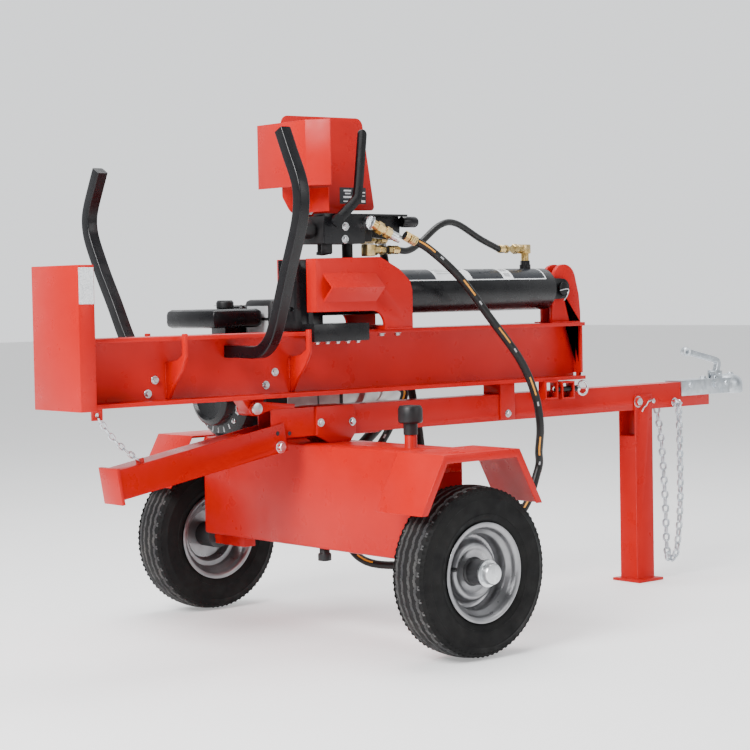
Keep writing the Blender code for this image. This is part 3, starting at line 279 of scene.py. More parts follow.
RED = red_paint()
BLACK = black_paint()
CASTING = cast_black()
TYRE = rubber("tyre_rubber", 0.006, 300)
TREAD = rubber("tread_rubber", 0.009, 260)
SCUFFED = rubber("scuffed_rubber", 0.075, 200)
HOSE = hose_cover()
STEEL = zinc("bright_zinc", (0.58, 0.6, 0.62), (0.78, 0.8, 0.82), 0.26)
GALVANISED = zinc("galvanised", (0.5, 0.55, 0.6), (0.68, 0.73, 0.78), 0.36)
CHROME = chrome()
SILVER = silver_paint()
ALUMINIUM = aluminium()
BRASS = brass()
PLASTIC = plastic("black_plastic", (0.008, 0.008, 0.009))
HUB = plastic("hub_grease_grey", (0.035, 0.035, 0.037), 0.35)
GREY = plastic("grey_label", (0.35, 0.36, 0.37), 0.4)
PALE = plastic("pale_label", (0.78, 0.8, 0.82), 0.35)
# Dark label colour for the printed panels, also used as painted shade inside the rear leg's holes.
DARK_LABEL_AND_HOLE_SHADE = plastic("dark_label_and_hole_shade", (0.016, 0.018, 0.022), 0.3)
ORANGE = plastic("orange_print", (0.62, 0.25, 0.02), 0.5)
TAPE = reflector()


# Shapes


def box(low, high, bevel=0.0, segments=2):
    mesh = bmesh.new()
    bmesh.ops.create_cube(mesh, size=1.0)
    bmesh.ops.scale(mesh, vec=Vector(high) - Vector(low), verts=mesh.verts)
    bmesh.ops.translate(mesh, vec=(Vector(low) + Vector(high)) / 2, verts=mesh.verts)
    if bevel:
        bmesh.ops.bevel(mesh, geom=list(mesh.edges), offset=bevel, segments=segments, affect="EDGES",
                        profile=0.5)
    return mesh


def turn_to(mesh, centre, axis):
    """Moves a shape drawn about +Z at the origin so that its +Z points along axis from centre."""
    spin = Vector((0, 0, 1)).rotation_difference(Vector(axis).normalized()).to_matrix().to_4x4()
    mesh.transform(Matrix.Translation(Vector(centre)) @ spin)
    return mesh


def turned(profile, centre=(0, 0, 0), axis=(0, 0, 1), count=32, closed=False):
    """A profile of (radius, height) turned about the axis."""
    mesh = bmesh.new()
    rings = []
    for radius, height in profile:
        if radius == 0:
            rings.append([mesh.verts.new((0, 0, height))])
            continue
        angles = [2 * math.pi * step / count for step in range(count)]
        rings.append([mesh.verts.new((radius * math.cos(a), radius * math.sin(a), height)) for a in angles])
    pairs = list(zip(rings, rings[1:]))
    if closed:
        pairs.append((rings[-1], rings[0]))
    for lower, upper in pairs:
        if len(lower) == len(upper) == 1:
            continue
        for step in range(count):
            after = (step + 1) % count
            if len(lower) == 1:
                mesh.faces.new((lower[0], upper[step], upper[after]))
            elif len(upper) == 1:
                mesh.faces.new((lower[step], upper[0], lower[after]))
            else:
                mesh.faces.new((lower[step], upper[step], upper[after], lower[after]))
    bmesh.ops.recalc_face_normals(mesh, faces=mesh.faces)
    return turn_to(mesh, centre, axis)


def stub(radius, height, centre, axis, count):
    """A plain cylinder that stands on centre along axis."""
    return turned([(0, 0), (radius, 0), (radius, height), (0, height)], centre, axis, count)


def prism(outline, axis, start, end, bevel=0.0):
    """A flat outline pushed from start to end along axis. The outline's pair is what is left of X, Y, Z."""
    mesh = bmesh.new()
    at = "XYZ".index(axis)
    first = [mesh.verts.new((*p[:at], start, *p[at:])) for p in outline]
    last = [mesh.verts.new((*p[:at], end, *p[at:])) for p in outline]
    mesh.faces.new(first)
    mesh.faces.new(reversed(last))
    for index in range(len(outline)):
        after = (index + 1) % len(outline)
        mesh.faces.new((first[after], first[index], last[index], last[after]))
    bmesh.ops.recalc_face_normals(mesh, faces=mesh.faces)
    if bevel:
        bmesh.ops.bevel(mesh, geom=list(mesh.edges), offset=bevel, segments=2, affect="EDGES", profile=0.5)
    return mesh


def smooth_route(points, count):
    """Evenly numbered places on a smooth curve through the points."""
    places = [Vector(p) for p in points]
    places = [2 * places[0] - places[1], *places, 2 * places[-1] - places[-2]]
    spans = len(places) - 3
    found = []
    for step in range(count + 1):
        along = min(step / count * spans, spans - 1e-9)
        span = int(along)
        t = along - span
        a, b, c, d = places[span : span + 4]
        curve = 2 * b + (c - a) * t + (2 * a - 5 * b + 4 * c - d) * t**2 + (3 * b - a - 3 * c + d) * t**3
        found.append(curve / 2)
    return found


def even_route(points, step):
    """Places a fixed distance apart along a smooth route."""
    fine = smooth_route(points, 60 * len(points))
    lengths = [0.0]
    for a, b in zip(fine, fine[1:]):
        lengths.append(lengths[-1] + (b - a).length)
    count = max(2, round(lengths[-1] / step))
    wanted = np.linspace(0, lengths[-1], count + 1)
    axes = [np.interp(wanted, lengths, [p[k] for p in fine]) for k in range(3)]
    return [Vector(p) for p in zip(*axes)]


def frames_along(route):
    """A direction and a steady sideways at each place, with no twist between places."""
    found = []
    side = None
    for index, place in enumerate(route):
        before = route[max(index - 1, 0)]
        after = route[min(index + 1, len(route) - 1)]
        along = (after - before).normalized()
        if side is None:
            side = along.cross(Vector((0, 0, 1)))
            if side.length < 0.1:
                side = along.cross(Vector((0, 1, 0)))
        side = (side - along * side.dot(along)).normalized()
        found.append((place, along, side))
    return found


def skinned(mesh, rings):
    """Faces between each ring of points and the next, and over both ends unless the last ring is the first."""
    for lower, upper in zip(rings, rings[1:]):
        for step in range(len(lower)):
            after = (step + 1) % len(lower)
            mesh.faces.new((lower[step], lower[after], upper[after], upper[step]))
    if rings[0] is not rings[-1]:
        mesh.faces.new(reversed(rings[0]))
        mesh.faces.new(rings[-1])
    bmesh.ops.recalc_face_normals(mesh, faces=mesh.faces)
    return mesh


def tube(route, radius, count=14):
    """A round tube along places, radius being a number or a function of the share of the length."""
    mesh = bmesh.new()
    rings = []
    places = frames_along(route)
    for index, (place, along, side) in enumerate(places):
        third = along.cross(side)
        size = radius(index / (len(places) - 1)) if callable(radius) else radius
        ring = []
        for step in range(count):
            angle = 2 * math.pi * step / count
            ring.append(mesh.verts.new(place + (side * math.cos(angle) + third * math.sin(angle)) * size))
        rings.append(ring)
    return skinned(mesh, rings)


def joined(*meshes):
    """Several shapes as one."""
    result = bmesh.new()
    for mesh in meshes:
        data = bpy.data.meshes.new("joined")
        mesh.to_mesh(data)
        mesh.free()
        result.from_mesh(data)
        bpy.data.meshes.remove(data)
    return result


def hexagon(flat, height, centre, axis, chamfer=0.0012):
    """A hexagonal bolt head or nut with a turned chamfer, standing on centre along axis."""
    corner = flat / math.sqrt(3)
    turns = [math.radians(60 * k) for k in range(6)]
    outline = [(corner * math.cos(turn), corner * math.sin(turn)) for turn in turns]
    inner = [(x * 0.9, y * 0.9) for x, y in outline]
    mesh = bmesh.new()
    low = [mesh.verts.new((x, y, 0)) for x, y in outline]
    middle = [mesh.verts.new((x, y, height - chamfer)) for x, y in outline]
    top = [mesh.verts.new((x, y, height)) for x, y in inner]
    mesh.faces.new(reversed(low))
    mesh.faces.new(top)
    for first, second in ((low, middle), (middle, top)):
        for k in range(6):
            mesh.faces.new((first[k], first[(k + 1) % 6], second[(k + 1) % 6], second[k]))
    return turn_to(mesh, centre, axis)


def bolt(centre, axis, flat=0.013, height=0.006, washer=True):
    """A hexagon head on a washer, both standing on the surface at centre."""
    parts = []
    lift = 0.0
    if washer:
        outer = flat * 0.82
        parts.append(turned([(0, 0), (outer, 0), (outer, 0.001), (outer - 0.0006, 0.0016), (0, 0.0016)],
                            centre, axis, 20))
        lift = 0.0016
    start = Vector(centre) + Vector(axis).normalized() * lift
    parts.append(hexagon(flat, height, start, axis))
    return joined(*parts)


def weld(points, radius=0.0028):
    """A bead of weld along a line, with the ripple that a welder leaves."""
    route = even_route(points, 0.0022)
    return tube(route, lambda share: radius * (0.82 + 0.18 * math.sin(share * len(route) * 1.6)), 8)


def filleted(corners):
    """A polygon of (u, v, radius) with each corner rounded to its radius."""
    points = []
    for index, (u, v, radius) in enumerate(corners):
        here = Vector((u, v))
        before = Vector(corners[index - 1][:2]) - here
        after = Vector(corners[(index + 1) % len(corners)][:2]) - here
        if radius == 0:
            points.append((u, v))
            continue
        half = before.angle(after) / 2
        reach = radius / math.tan(half)
        start = here + before.normalized() * reach
        end = here + after.normalized() * reach
        centre = here + (before.normalized() + after.normalized()).normalized() * radius / math.sin(half)
        for step in range(7):
            spoke = (start - centre).lerp(end - centre, step / 6).normalized() * radius
            points.append(tuple(centre + spoke))
    return points


def strip(points, half):
    """A flat strip of even width along a bent line, with round ends, as an outline."""
    places = [Vector(p) for p in points]
    left = []
    right = []
    for index, place in enumerate(places):
        before = (place - places[index - 1]).normalized() if index else None
        after = (places[index + 1] - place).normalized() if index + 1 < len(places) else None
        along = ((before or after) + (after or before)).normalized()
        normal = Vector((-along.y, along.x))
        stretch = 1 / max(0.5, along.dot(after or before))
        left.append(place + normal * half * stretch)
        right.append(place - normal * half * stretch)
    outline = []
    for place, neighbour in ((places[-1], places[-2]), (places[0], places[1])):
        along = (place - neighbour).normalized()
        turn = math.atan2(along.y, along.x)
        cap = [place + Vector((math.cos(turn + a), math.sin(turn + a))) * half
               for a in [math.radians(90 - 180 * k / 12) for k in range(13)]]
        if not outline:
            outline = left[:-1] + cap + list(reversed(right[:-1]))[:-1]
        else:
            outline += cap
    return [tuple(p) for p in outline[1:]]


def square_bar(route, normal, half, corner):
    """A square bar with rounded corners bent along a route that lies square to normal."""
    corners = [(-half, -half), (half, -half), (half, half), (-half, half)]
    section = filleted([(u, v, corner) for u, v in corners])
    mesh = bmesh.new()
    rings = []
    side = Vector(normal)
    for place, along, _ in frames_along(route):
        third = along.cross(side).normalized()
        rings.append([mesh.verts.new(place + side * u + third * v) for u, v in section])
    return skinned(mesh, rings)


def ring(centre, axis, major, wire, count=32):
    """A ring of round wire."""
    turns = [2 * math.pi * k / 10 for k in range(10)]
    profile = [(major + wire * math.cos(turn), wire * math.sin(turn)) for turn in turns]
    return turned(profile, centre, axis, count, closed=True)


def on_barrel(start, end, low, high, lift):
    """A thin patch that lies on the cylinder from start to end, between two angles from its top towards -Y."""
    mesh = bmesh.new()
    radius = BARREL_RADIUS + lift
    rows = []
    for x in (start, end):
        row = []
        for step in range(9):
            angle = math.radians(low + (high - low) * step / 8)
            row.append(mesh.verts.new((x, -radius * math.sin(angle), BARREL_Z + radius * math.cos(angle))))
        rows.append(row)
    for step in range(8):
        mesh.faces.new((rows[0][step], rows[0][step + 1], rows[1][step + 1], rows[1][step]))
    return mesh


def shade_smooth(data, angle):
    data.polygons.foreach_set("use_smooth", [True] * len(data.polygons))
    data.set_sharp_from_angle(angle=math.radians(angle))


def piece(name, mesh, material, body, angle=35, shift=True, replaces=()):
    """Puts a shape in the scene, riding on a body. shift is for shapes measured from the axle."""
    data = bpy.data.meshes.new(name)
    if shift:
        mesh.transform(Matrix.Translation(SHIFT))
    mesh.to_mesh(data)
    mesh.free()
    materials = material if isinstance(material, (list, tuple)) else [material]
    for one in materials:
        data.materials.append(one)
    shade_smooth(data, angle)
    made = bpy.data.objects.new(name, data)
    bpy.context.scene.collection.objects.link(made)
    if body:
        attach(made, body)
    if replaces:
        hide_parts(*replaces)
    return made


def rounded(node, material, width=0.0015, segments=2, angle=30):
    """A CAD node shown with its edges rounded, as folded, cut or cast metal has them."""
    mesh = bmesh.new()
    mesh.from_mesh(NODES[node].data)
    bmesh.ops.remove_doubles(mesh, verts=mesh.verts, dist=0.00002)
    bmesh.ops.dissolve_limit(mesh, angle_limit=math.radians(0.8), verts=mesh.verts, edges=mesh.edges)
    made = piece(node + "_shown", mesh, material, None, 60, shift=False)
    modifier = made.modifiers.new("edges", "BEVEL")
    modifier.width = width
    modifier.segments = segments
    modifier.limit_method = "ANGLE"
    modifier.angle_limit = math.radians(angle)
    modifier.use_clamp_overlap = True
    modifier.harden_normals = False
    bpy.context.view_layer.update()
    evaluated = made.evaluated_get(bpy.context.evaluated_depsgraph_get())
    data = bpy.data.meshes.new_from_object(evaluated)
    made.modifiers.clear()
    made.data = data
    shade_smooth(data, 50)
    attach(made, BODY_OF[node])
    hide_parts(node)
    return made


def paint(node, material):
    """A CAD node kept as it is, with a better material."""
    data = NODES[node].data
    data.materials.clear()
    data.materials.append(material)


# Wheels


def tread_band(centre):
    """The band that meets the ground: four zigzag grooves and notched shoulders cut into a crowned surface."""
    around = 360
    ribs = 72
    half = 0.0445
    shoulder = 0.036
    groove_depth = 0.0052
    mesh = bmesh.new()
    rows = []
    zigzag = 40
    grooves = (-0.03, -0.011, 0.011, 0.03)
    for k in range(ribs + 1):
        y = -half + 2 * half * k / ribs
        crown = TYRE_RADIUS - 0.0015 - 0.0065 * (abs(y) / half) ** 2.4
        ring = []
        for step in range(around):
            angle = 2 * math.pi * step / around
            wave = abs((angle * zigzag / math.pi) % 2 - 1) - 0.5
            depth = 0.0
            for groove in grooves:
                away = abs(y - groove - 0.0036 * wave)
                depth = max(depth, min(1.0, max(0.0, (0.0032 - away) / 0.0012)))
            if abs(y) > shoulder:
                lug = abs((angle * zigzag / math.pi) % 2 - 1)
                depth = max(depth, 0.55 if lug < 0.22 else 0.0)
            r = crown - groove_depth * depth
            ring.append(mesh.verts.new((r * math.cos(angle), r * math.sin(angle), y)))
        rows.append(ring)
    for lower, upper in zip(rows, rows[1:]):
        for step in range(around):
            after = (step + 1) % around
            face = mesh.faces.new((lower[step], upper[step], upper[after], lower[after]))
            reach = [math.hypot(v.co.x, v.co.y) for v in face.verts]
            face.material_index = 1 if max(reach) - min(reach) > 0.0016 else 0
    bmesh.ops.recalc_face_normals(mesh, faces=mesh.faces)
    return turn_to(mesh, centre, (0, 1, 0))


def tyre_casing(centre):
    """Both side walls with their rings, and the small blocks round each shoulder."""
    wall = []
    for sign in (1, -1):
        profile = [(0.1965, 0.0435), (0.1945, 0.0475), (0.1905, 0.0515), (0.1885, 0.0512), (0.182, 0.0555),
                   (0.174, 0.058), (0.1735, 0.0586), (0.1715, 0.0586), (0.171, 0.0581), (0.16, 0.0585),
                   (0.149, 0.0582), (0.138, 0.0568), (0.1375, 0.0574), (0.1355, 0.0572), (0.135, 0.056),
                   (0.127, 0.053), (0.1215, 0.0495), (0.118, 0.0472), (0.1045, 0.047)]
        wall.append(turned([(r, sign * y) for r, y in profile], centre, (0, 1, 0), 120))
    lugs = []
    count = 80
    for step in range(count):
        angle = 2 * math.pi * (step + 0.25) / count
        for sign in (1, -1):
            lug = box((-0.0034, -0.0014, -0.0075), (0.0034, 0.0016, 0.0075), 0.0008, 1)
            lug.transform(Matrix.Translation((0, sign * 0.0485, 0.1915)) @ Matrix.Rotation(sign * 0.62, 4, "X"))
            lug.transform(Matrix.Rotation(angle, 4, "Y"))
            lug.transform(Matrix.Translation(centre))
            lugs.append(lug)
    return joined(*wall, *lugs)


def wheel(side, word):
    centre = Vector((0, side * HALF_TRACK, TYRE_RADIUS))
    across = (0, 1, 0)
    body = "wheel_" + word
    piece("tyre_" + word + "_casing", tyre_casing(centre), TYRE, body, replaces=("tyre_" + word,))
    piece("tyre_" + word + "_tread", tread_band(centre), [TREAD, SCUFFED], body, 28)

    rim = [(0.117, 0.05), (0.118, 0.0512), (0.1172, 0.0524), (0.112, 0.0528), (0.1065, 0.0505),
           (0.1035, 0.046), (0.102, 0.04), (0.099, 0.034), (0.0915, 0.03), (0.089, 0.026),
           (0.088, 0.006), (0.0862, -0.003), (0.0815, -0.006), (0.076, -0.0055), (0.0725, -0.002),
           (0.0705, 0.006), (0.069, 0.014), (0.066, 0.0185), (0.061, 0.0205), (0.056, 0.02),
           (0.052, 0.0165), (0.048, 0.015), (0.042, 0.0148), (0.033, 0.015)]
    back = [(0.033, 0.012), (0.056, 0.0125), (0.064, 0.012), (0.068, -0.003), (0.074, -0.01),
            (0.086, -0.011), (0.089, -0.025), (0.099, -0.034), (0.102, -0.04), (0.1035, -0.046),
            (0.1065, -0.0505), (0.112, -0.0528), (0.1172, -0.0524), (0.117, -0.05), (0.108, -0.0475),
            (0.106, -0.04), (0.102, -0.032), (0.102, 0.032), (0.106, 0.04), (0.108, 0.0475)]
    disc = turned([(r, side * y) for r, y in rim + back], centre, across, 96, closed=True)
    piece("rim_" + word + "_disc", disc, SILVER, body, 40, replaces=("rim_" + word,))
    hub = [(0, -0.05), (0.03, -0.052), (0.033, -0.052), (0.033, 0.012), (0.0345, 0.015), (0.033, 0.018),
           (0.03, 0.02),
           (0.0285, 0.056), (0.029, 0.06), (0, 0.06)]
    piece("hub_" + word + "_barrel", turned([(r, side * y) for r, y in hub], centre, across, 48), HUB, body, 40)
    cap = [(0, 0.0595), (0.0315, 0.0595), (0.0325, 0.0605), (0.0325, 0.065), (0.0312, 0.0662), (0.0255, 0.0664),
           (0.025, 0.067), (0.0248, 0.0805), (0.0232, 0.0832), (0.019, 0.0839), (0, 0.0839)]
    piece("hub_" + word + "_cap", turned([(r, side * y) for r, y in cap], centre, across, 48), STEEL, body, 32)
    stem = turned([(0, 0), (0.0075, 0), (0.0065, 0.006), (0.0046, 0.01), (0.0044, 0.028), (0.0052, 0.0285),
                   (0.0052, 0.037), (0.004, 0.039), (0, 0.039)], centre + Vector((-0.097, side * 0.008, 0.012)),
                  (0.5, side, 0.1), 16)
    piece("valve_stem_" + word, stem, PLASTIC, body)


# Bolts, welds and small fittings


def bolts():
    """Exposed bolt heads. All but the valve's are on both sides of the machine."""
    flat = 0.013
    rows = [
        ("side_plate_bolts_", "chassis", [(-0.044, 0.0363, 0.533), (0.058, 0.0363, 0.53)], None, flat),
        ("beam_rest_bolt_", "chassis", [(0.612, 0.034, 0.52)], None, flat),
        ("gib_bolts_", "ram", [(-0.06 + 0.033 * k, 0.048, 0.7357) for k in range(5)], (0, 0, -1), 0.01),
        ("stripper_bolts_", "beam", [(0.156, 0.042, 0.7517), (0.21, 0.042, 0.7517)], (0, 0, -1), flat),
        ("web_bolts_", "beam", [(-0.517, 0.0042, 0.66), (-0.538, 0.0042, 0.628), (-0.161, 0.0042, 0.664),
                                (-0.19, 0.0042, 0.633)], None, flat),
    ]
    for name, body, places, axis, size in rows:
        for side, word in ((-1, "near"), (1, "far")):
            heads = [bolt((x, side * y, z), axis or (0, side, 0), size, size * 0.45) for x, y, z in places]
            piece(name + word, joined(*heads), STEEL, body, 25)
    places = ((0.016, 1.022), (0.014, 0.99))
    heads = [bolt((x, VALVE_FACE, z), (0, -1, 0), flat, flat * 0.45) for x, z in places]
    piece("valve_bolts", joined(*heads), STEEL, "beam", 25)


def welds():
    both = (-1, 1)
    lines = [
        ("foot_plate_welds", [[(-0.737, side * 0.004, 0.613), (-0.737, side * 0.004, 0.751)] for side in both]
         + [[(-0.737, side * 0.051, 0.762), (-0.737, 0, 0.7635)] for side in both]),
        ("anchor_welds", [[(0.79, side * 0.0345, 0.763), (0.9, side * 0.0345, 0.763)] for side in both]),
        ("stripper_welds", [[(0.142, side * 0.079, 0.764), (0.23, side * 0.079, 0.764)] for side in both]),
        ("hook_welds", [[(x - 0.006, side * 0.005, 0.616), (x - 0.006, side * 0.005, 0.698)]
                        for x in (-0.48, -0.11) for side in both]),
    ]
    for name, runs in lines:
        piece(name, joined(*[weld(run) for run in runs]), RED, "beam", 60)


# Chains


def link(wire, length, width):
    """One chain link lying in XZ, long along X, centred on the origin."""
    path = []
    reach = (length - width) / 2
    for step in range(20):
        angle = 2 * math.pi * step / 20
        x = (width / 2 - wire) * math.cos(angle) + math.copysign(reach, math.cos(angle))
        path.append(Vector((x, 0, (width / 2 - wire) * math.sin(angle))))
    mesh = bmesh.new()
    rings = []
    for index, place in enumerate(path):
        along = (path[(index + 1) % 20] - path[index - 1]).normalized()
        side = Vector((0, 1, 0))
        third = along.cross(side)
        ring = []
        for step in range(8):
            angle = 2 * math.pi * step / 8
            ring.append(mesh.verts.new(place + (side * math.cos(angle) + third * math.sin(angle)) * wire))
        rings.append(ring)
    return skinned(mesh, rings + rings[:1])


def chain(points, wire, length, width):
    """Links along a route, each turned a quarter from the last."""
    pitch = length - 2 * wire * 1.05
    route = even_route(points, pitch)
    links = []
    for index, (a, b) in enumerate(zip(route, route[1:])):
        along = (b - a).normalized()
        side = along.cross(Vector((0.93, 0.36, 0.1))).normalized()
        third = along.cross(side)
        twist = math.radians(38 + 90 * (index % 2))
        across = side * math.cos(twist) + third * math.sin(twist)
        up = along.cross(across)
        one = link(wire, length, width)
        turn = Matrix((along, up, across)).transposed().to_4x4()
        one.transform(Matrix.Translation((a + b) / 2) @ turn)
        links.append(one)
    return joined(*links)


def chains():
    drop = [(CHAIN_X, -CHAIN_Y, 0.521), (CHAIN_X, -CHAIN_Y, 0.505), (1.308, -CHAIN_Y, 0.395),
            (1.309, -CHAIN_Y + 0.002, 0.215), (CHAIN_X, -0.03, 0.075), (1.307, -0.005, 0.047),
            (1.311, 0.013, 0.075), (1.314, 0.02, 0.215), (1.311, 0.03, 0.395),
            (CHAIN_X, CHAIN_Y, 0.505), (CHAIN_X, CHAIN_Y, 0.521)]
    piece("safety_chain_links", chain(drop, 0.0037, 0.029, 0.0235), GALVANISED, "safety_chain", 40,
          replaces=("safety_chain",))
    hook = tube(even_route([(1.3, -0.01, 0.06), (1.29, -0.014, 0.048), (1.275, -0.018, 0.05),
                            (1.268, -0.02, 0.062), (1.276, -0.021, 0.072), (1.285, -0.02, 0.068)], 0.003),
                0.004, 10)
    piece("safety_chain_hook", hook, GALVANISED, "safety_chain", 45)
    top = Vector((-0.705, -0.045, 0.584))
    bottom = Vector((-0.5775, -0.02, 0.474))
    middle = (top + bottom) / 2 + Vector((-0.006, 0, -0.006))
    leg = piece("leg_chain_links", chain([top, middle, bottom], 0.0022, 0.0235, 0.015), GALVANISED, None, 40)
    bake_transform(leg)
    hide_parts("leg_chain")


# Hoses and fittings


def hose_route(points):
    return [Vector(points[0]), *smooth_route(points[1:-1], 14 * (len(points) - 3)), Vector(points[-1])]


def dashes(route, radius, facing, start, step, length):
    """Printed dashes on a hose: thin strips bent to it, on the side that faces the given way."""
    lengths = [0.0]
    for a, b in zip(route, route[1:]):
        lengths.append(lengths[-1] + (b - a).length)
    mesh = bmesh.new()
    at = start
    while at + length < lengths[-1]:
        rows = []
        for share in np.linspace(at, at + length, 7):
            place = Vector([np.interp(share, lengths, [p[k] for p in route]) for k in range(3)])
            ahead = Vector([np.interp(share + 0.004, lengths, [p[k] for p in route]) for k in range(3)])
            along = (ahead - place).normalized()
            out = Vector(facing) - along * Vector(facing).dot(along)
            out.normalize()
            across = along.cross(out)
            row = []
            for angle in (-0.2, -0.1, 0, 0.1, 0.2):
                row.append(mesh.verts.new(place + (out * math.cos(angle) + across * math.sin(angle))
                                          * (radius + 0.0002)))
            rows.append(row)
        for lower, upper in zip(rows, rows[1:]):
            for k in range(4):
                mesh.faces.new((lower[k], lower[k + 1], upper[k + 1], upper[k]))
        at += step
    return mesh


def ferrule(place, along, radius):
    """A crimped hose end, from the hose towards the port: ribbed sleeve, collar, neck and hexagon."""
    sleeve = turned([(radius * 0.9, 0), (radius * 1.24, 0), (radius * 1.3, 0.002), (radius * 1.18, 0.005),
                     (radius * 1.3, 0.008), (radius * 1.18, 0.011), (radius * 1.3, 0.014),
                     (radius * 1.18, 0.017),
                     (radius * 1.26, 0.02), (radius * 0.95, 0.022), (radius * 0.8, 0.028), (0, 0.028)],
                    place, along, 8)
    nut = hexagon(radius * 2.3, 0.011, Vector(place) + Vector(along).normalized() * 0.024, along)
    return joined(sleeve, nut)


def hoses():
    pressure = [(0.1855, -0.1052, 0.9998), (0.198, -0.1077, 0.9935), (0.259, -0.12, 0.962),
                (0.353, -0.13, 0.889),
                (0.449, -0.14, 0.783), (0.547, -0.15, 0.67), (0.601, -0.15, 0.574), (0.618, -0.15, 0.493),
                (0.632, -0.13, 0.423), (0.636, -0.12, 0.366), (0.56, -0.12, 0.25), (0.4, -0.07, 0.165),
                (0.25, 0.000, 0.141), (0.2, 0.1, 0.15), (0.205, 0.17, 0.21), (0.245, 0.175, 0.33),
                (0.345, 0.15, 0.49), (0.395, 0.145, 0.575), (0.4, 0.175, 0.6), (0.4, 0.2075, 0.6)]
    back = [(0.1785, 0.004, 0.995), (0.205, 0.004, 0.995), (0.262, 0.07, 0.975), (0.3, 0.095, 0.9),
            (0.345, 0.1, 0.75), (0.378, 0.095, 0.586), (0.4, 0.09, 0.46), (0.37, 0.06, 0.37),
            (0.25, 0.035, 0.338), (0.16, 0.03, 0.34), (0.1105, 0.03, 0.34)]
    work = [(0.1655, -0.06, 0.964), (0.195, -0.06, 0.964), (0.245, -0.052, 0.963), (0.3, -0.04, 0.985),
            (0.377, -0.03, 1.03), (0.444, -0.02, 1.035), (0.541, -0.01, 0.995), (0.62, 0.000, 0.968),
            (0.6555, 0.000, 0.968)]
    suction = [(0.1105, 0.33, 0.3), (0.16, 0.33, 0.3), (0.29, 0.33, 0.35), (0.385, 0.32, 0.43),
               (0.43, 0.28, 0.495), (0.43, 0.28, 0.5315)]

    for name, points, radius in (
        ("pressure_hose", pressure, 0.0108),
        ("return_hose", back, 0.0108),
        ("work_hose", work, 0.0088),
        ("suction_hose", suction, 0.0158),
    ):
        route = hose_route(points)
        made = [piece(name + "_cover", joined(tube(route, radius, 18)), HOSE, None, 50)]
        if name == "pressure_hose":
            facing = (-0.6, -0.75, 0.35)
            long_print = dashes(route, radius, facing, 0.040, 0.170, 0.055)
            short_print = dashes(route, radius, facing, 0.115, 0.170, 0.012)
            made.append(piece(name + "_print", long_print, ORANGE, None, 60))
            made.append(piece(name + "_marks", short_print, GREY, None, 60))
        ends = []
        for tip, inward in ((points[0], points[1]), (points[-1], points[-2])):
            along = Vector(inward) - Vector(tip)
            ends.append(ferrule(Vector(tip) + along.normalized() * 0.036, -along, radius))
        if name in ("pressure_hose", "return_hose"):
            for one in made:
                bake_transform(one)
            piece(name + "_upper_end", ends[0], BRASS, "beam", 30)
            piece(name + "_lower_end", ends[1], BRASS, "chassis", 30)
        else:
            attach(made[0], BODY_OF[name])
            piece(name + "_ends", joined(*ends), BRASS, BODY_OF[name], 30)
        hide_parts(name)


# Whole machine


def painted_metal():
    for node in ("oil_tank", "fender_near", "fender_far", "tongue_tube", "side_plate_near", "side_plate_far",
                 "engine_plate", "tilt_bracket", "beam_rest", "latch_housing", "front_stand", "rear_leg",
                 "splitting_beam", "foot_plate", "rear_hook_near", "rear_hook_far", "front_hook_near",
                 "front_hook_far", "stripper_near", "stripper_far", "cylinder_anchor", "lever_guard"):
        width = 0.001 if node in ("lever_guard", "fender_near", "fender_far") else 0.0018
        rounded(node, RED, width)
    for node in ("axle_near", "axle_far"):
        rounded(node, RED, 0.0012)
    rounded("splitting_wedge", BLACK, 0.001)
    rounded("engine_block", CASTING, 0.0014)
    for node in ("fan_shroud", "fuel_tank", "muffler", "cylinder_barrel"):
        rounded(node, BLACK, 0.001)
    for node in ("air_cleaner", "fuel_cap", "filler_cap", "drain_plug", "starter_grip", "throttle_lever"):
        rounded(node, PLASTIC, 0.001)
    rounded("coupler_body", GALVANISED, 0.0025, 3)
    rounded("tilt_pin", STEEL, 0.0008)
    rounded("anchor_pin", BLACK, 0.0008)
    for node in ("pump_mount", "oil_pump"):
        rounded(node, ALUMINIUM, 0.0012)
    paint("ram_rod", CHROME)


def log_arms():
    near = [(0.234, 1.238), (0.262, 1.18), (0.286, 1.132), (0.297, 1.098), (0.298, 1.06), (0.29, 1.02),
            (0.272, 0.973), (0.241, 0.899), (0.213, 0.826), (0.194, 0.779), (0.178, 0.751), (0.155, 0.73),
            (0.125, 0.7195), (0.06, 0.7195), (0.0048, 0.7195)]
    far = [(0.236, 1.166), (0.26, 1.121), (0.281, 1.08), (0.29, 1.05), (0.288, 1.02), (0.277, 0.99),
           (0.254, 0.948), (0.228, 0.904), (0.19, 0.846), (0.164, 0.803), (0.145, 0.772), (0.123, 0.742),
           (0.098, 0.724), (0.075, 0.7195), (0.04, 0.7195), (0.0048, 0.7195)]
    for name, x, side, route in (("log_arm_near", -0.3, -1, near), ("log_arm_far", -0.5008, 1, far)):
        places = smooth_route([(x, side * across, height) for across, height in route], 90)
        piece(name + "_bar", square_bar(places, (1, 0, 0), 0.0148, 0.0035), BLACK, "beam", 50, replaces=(name,))


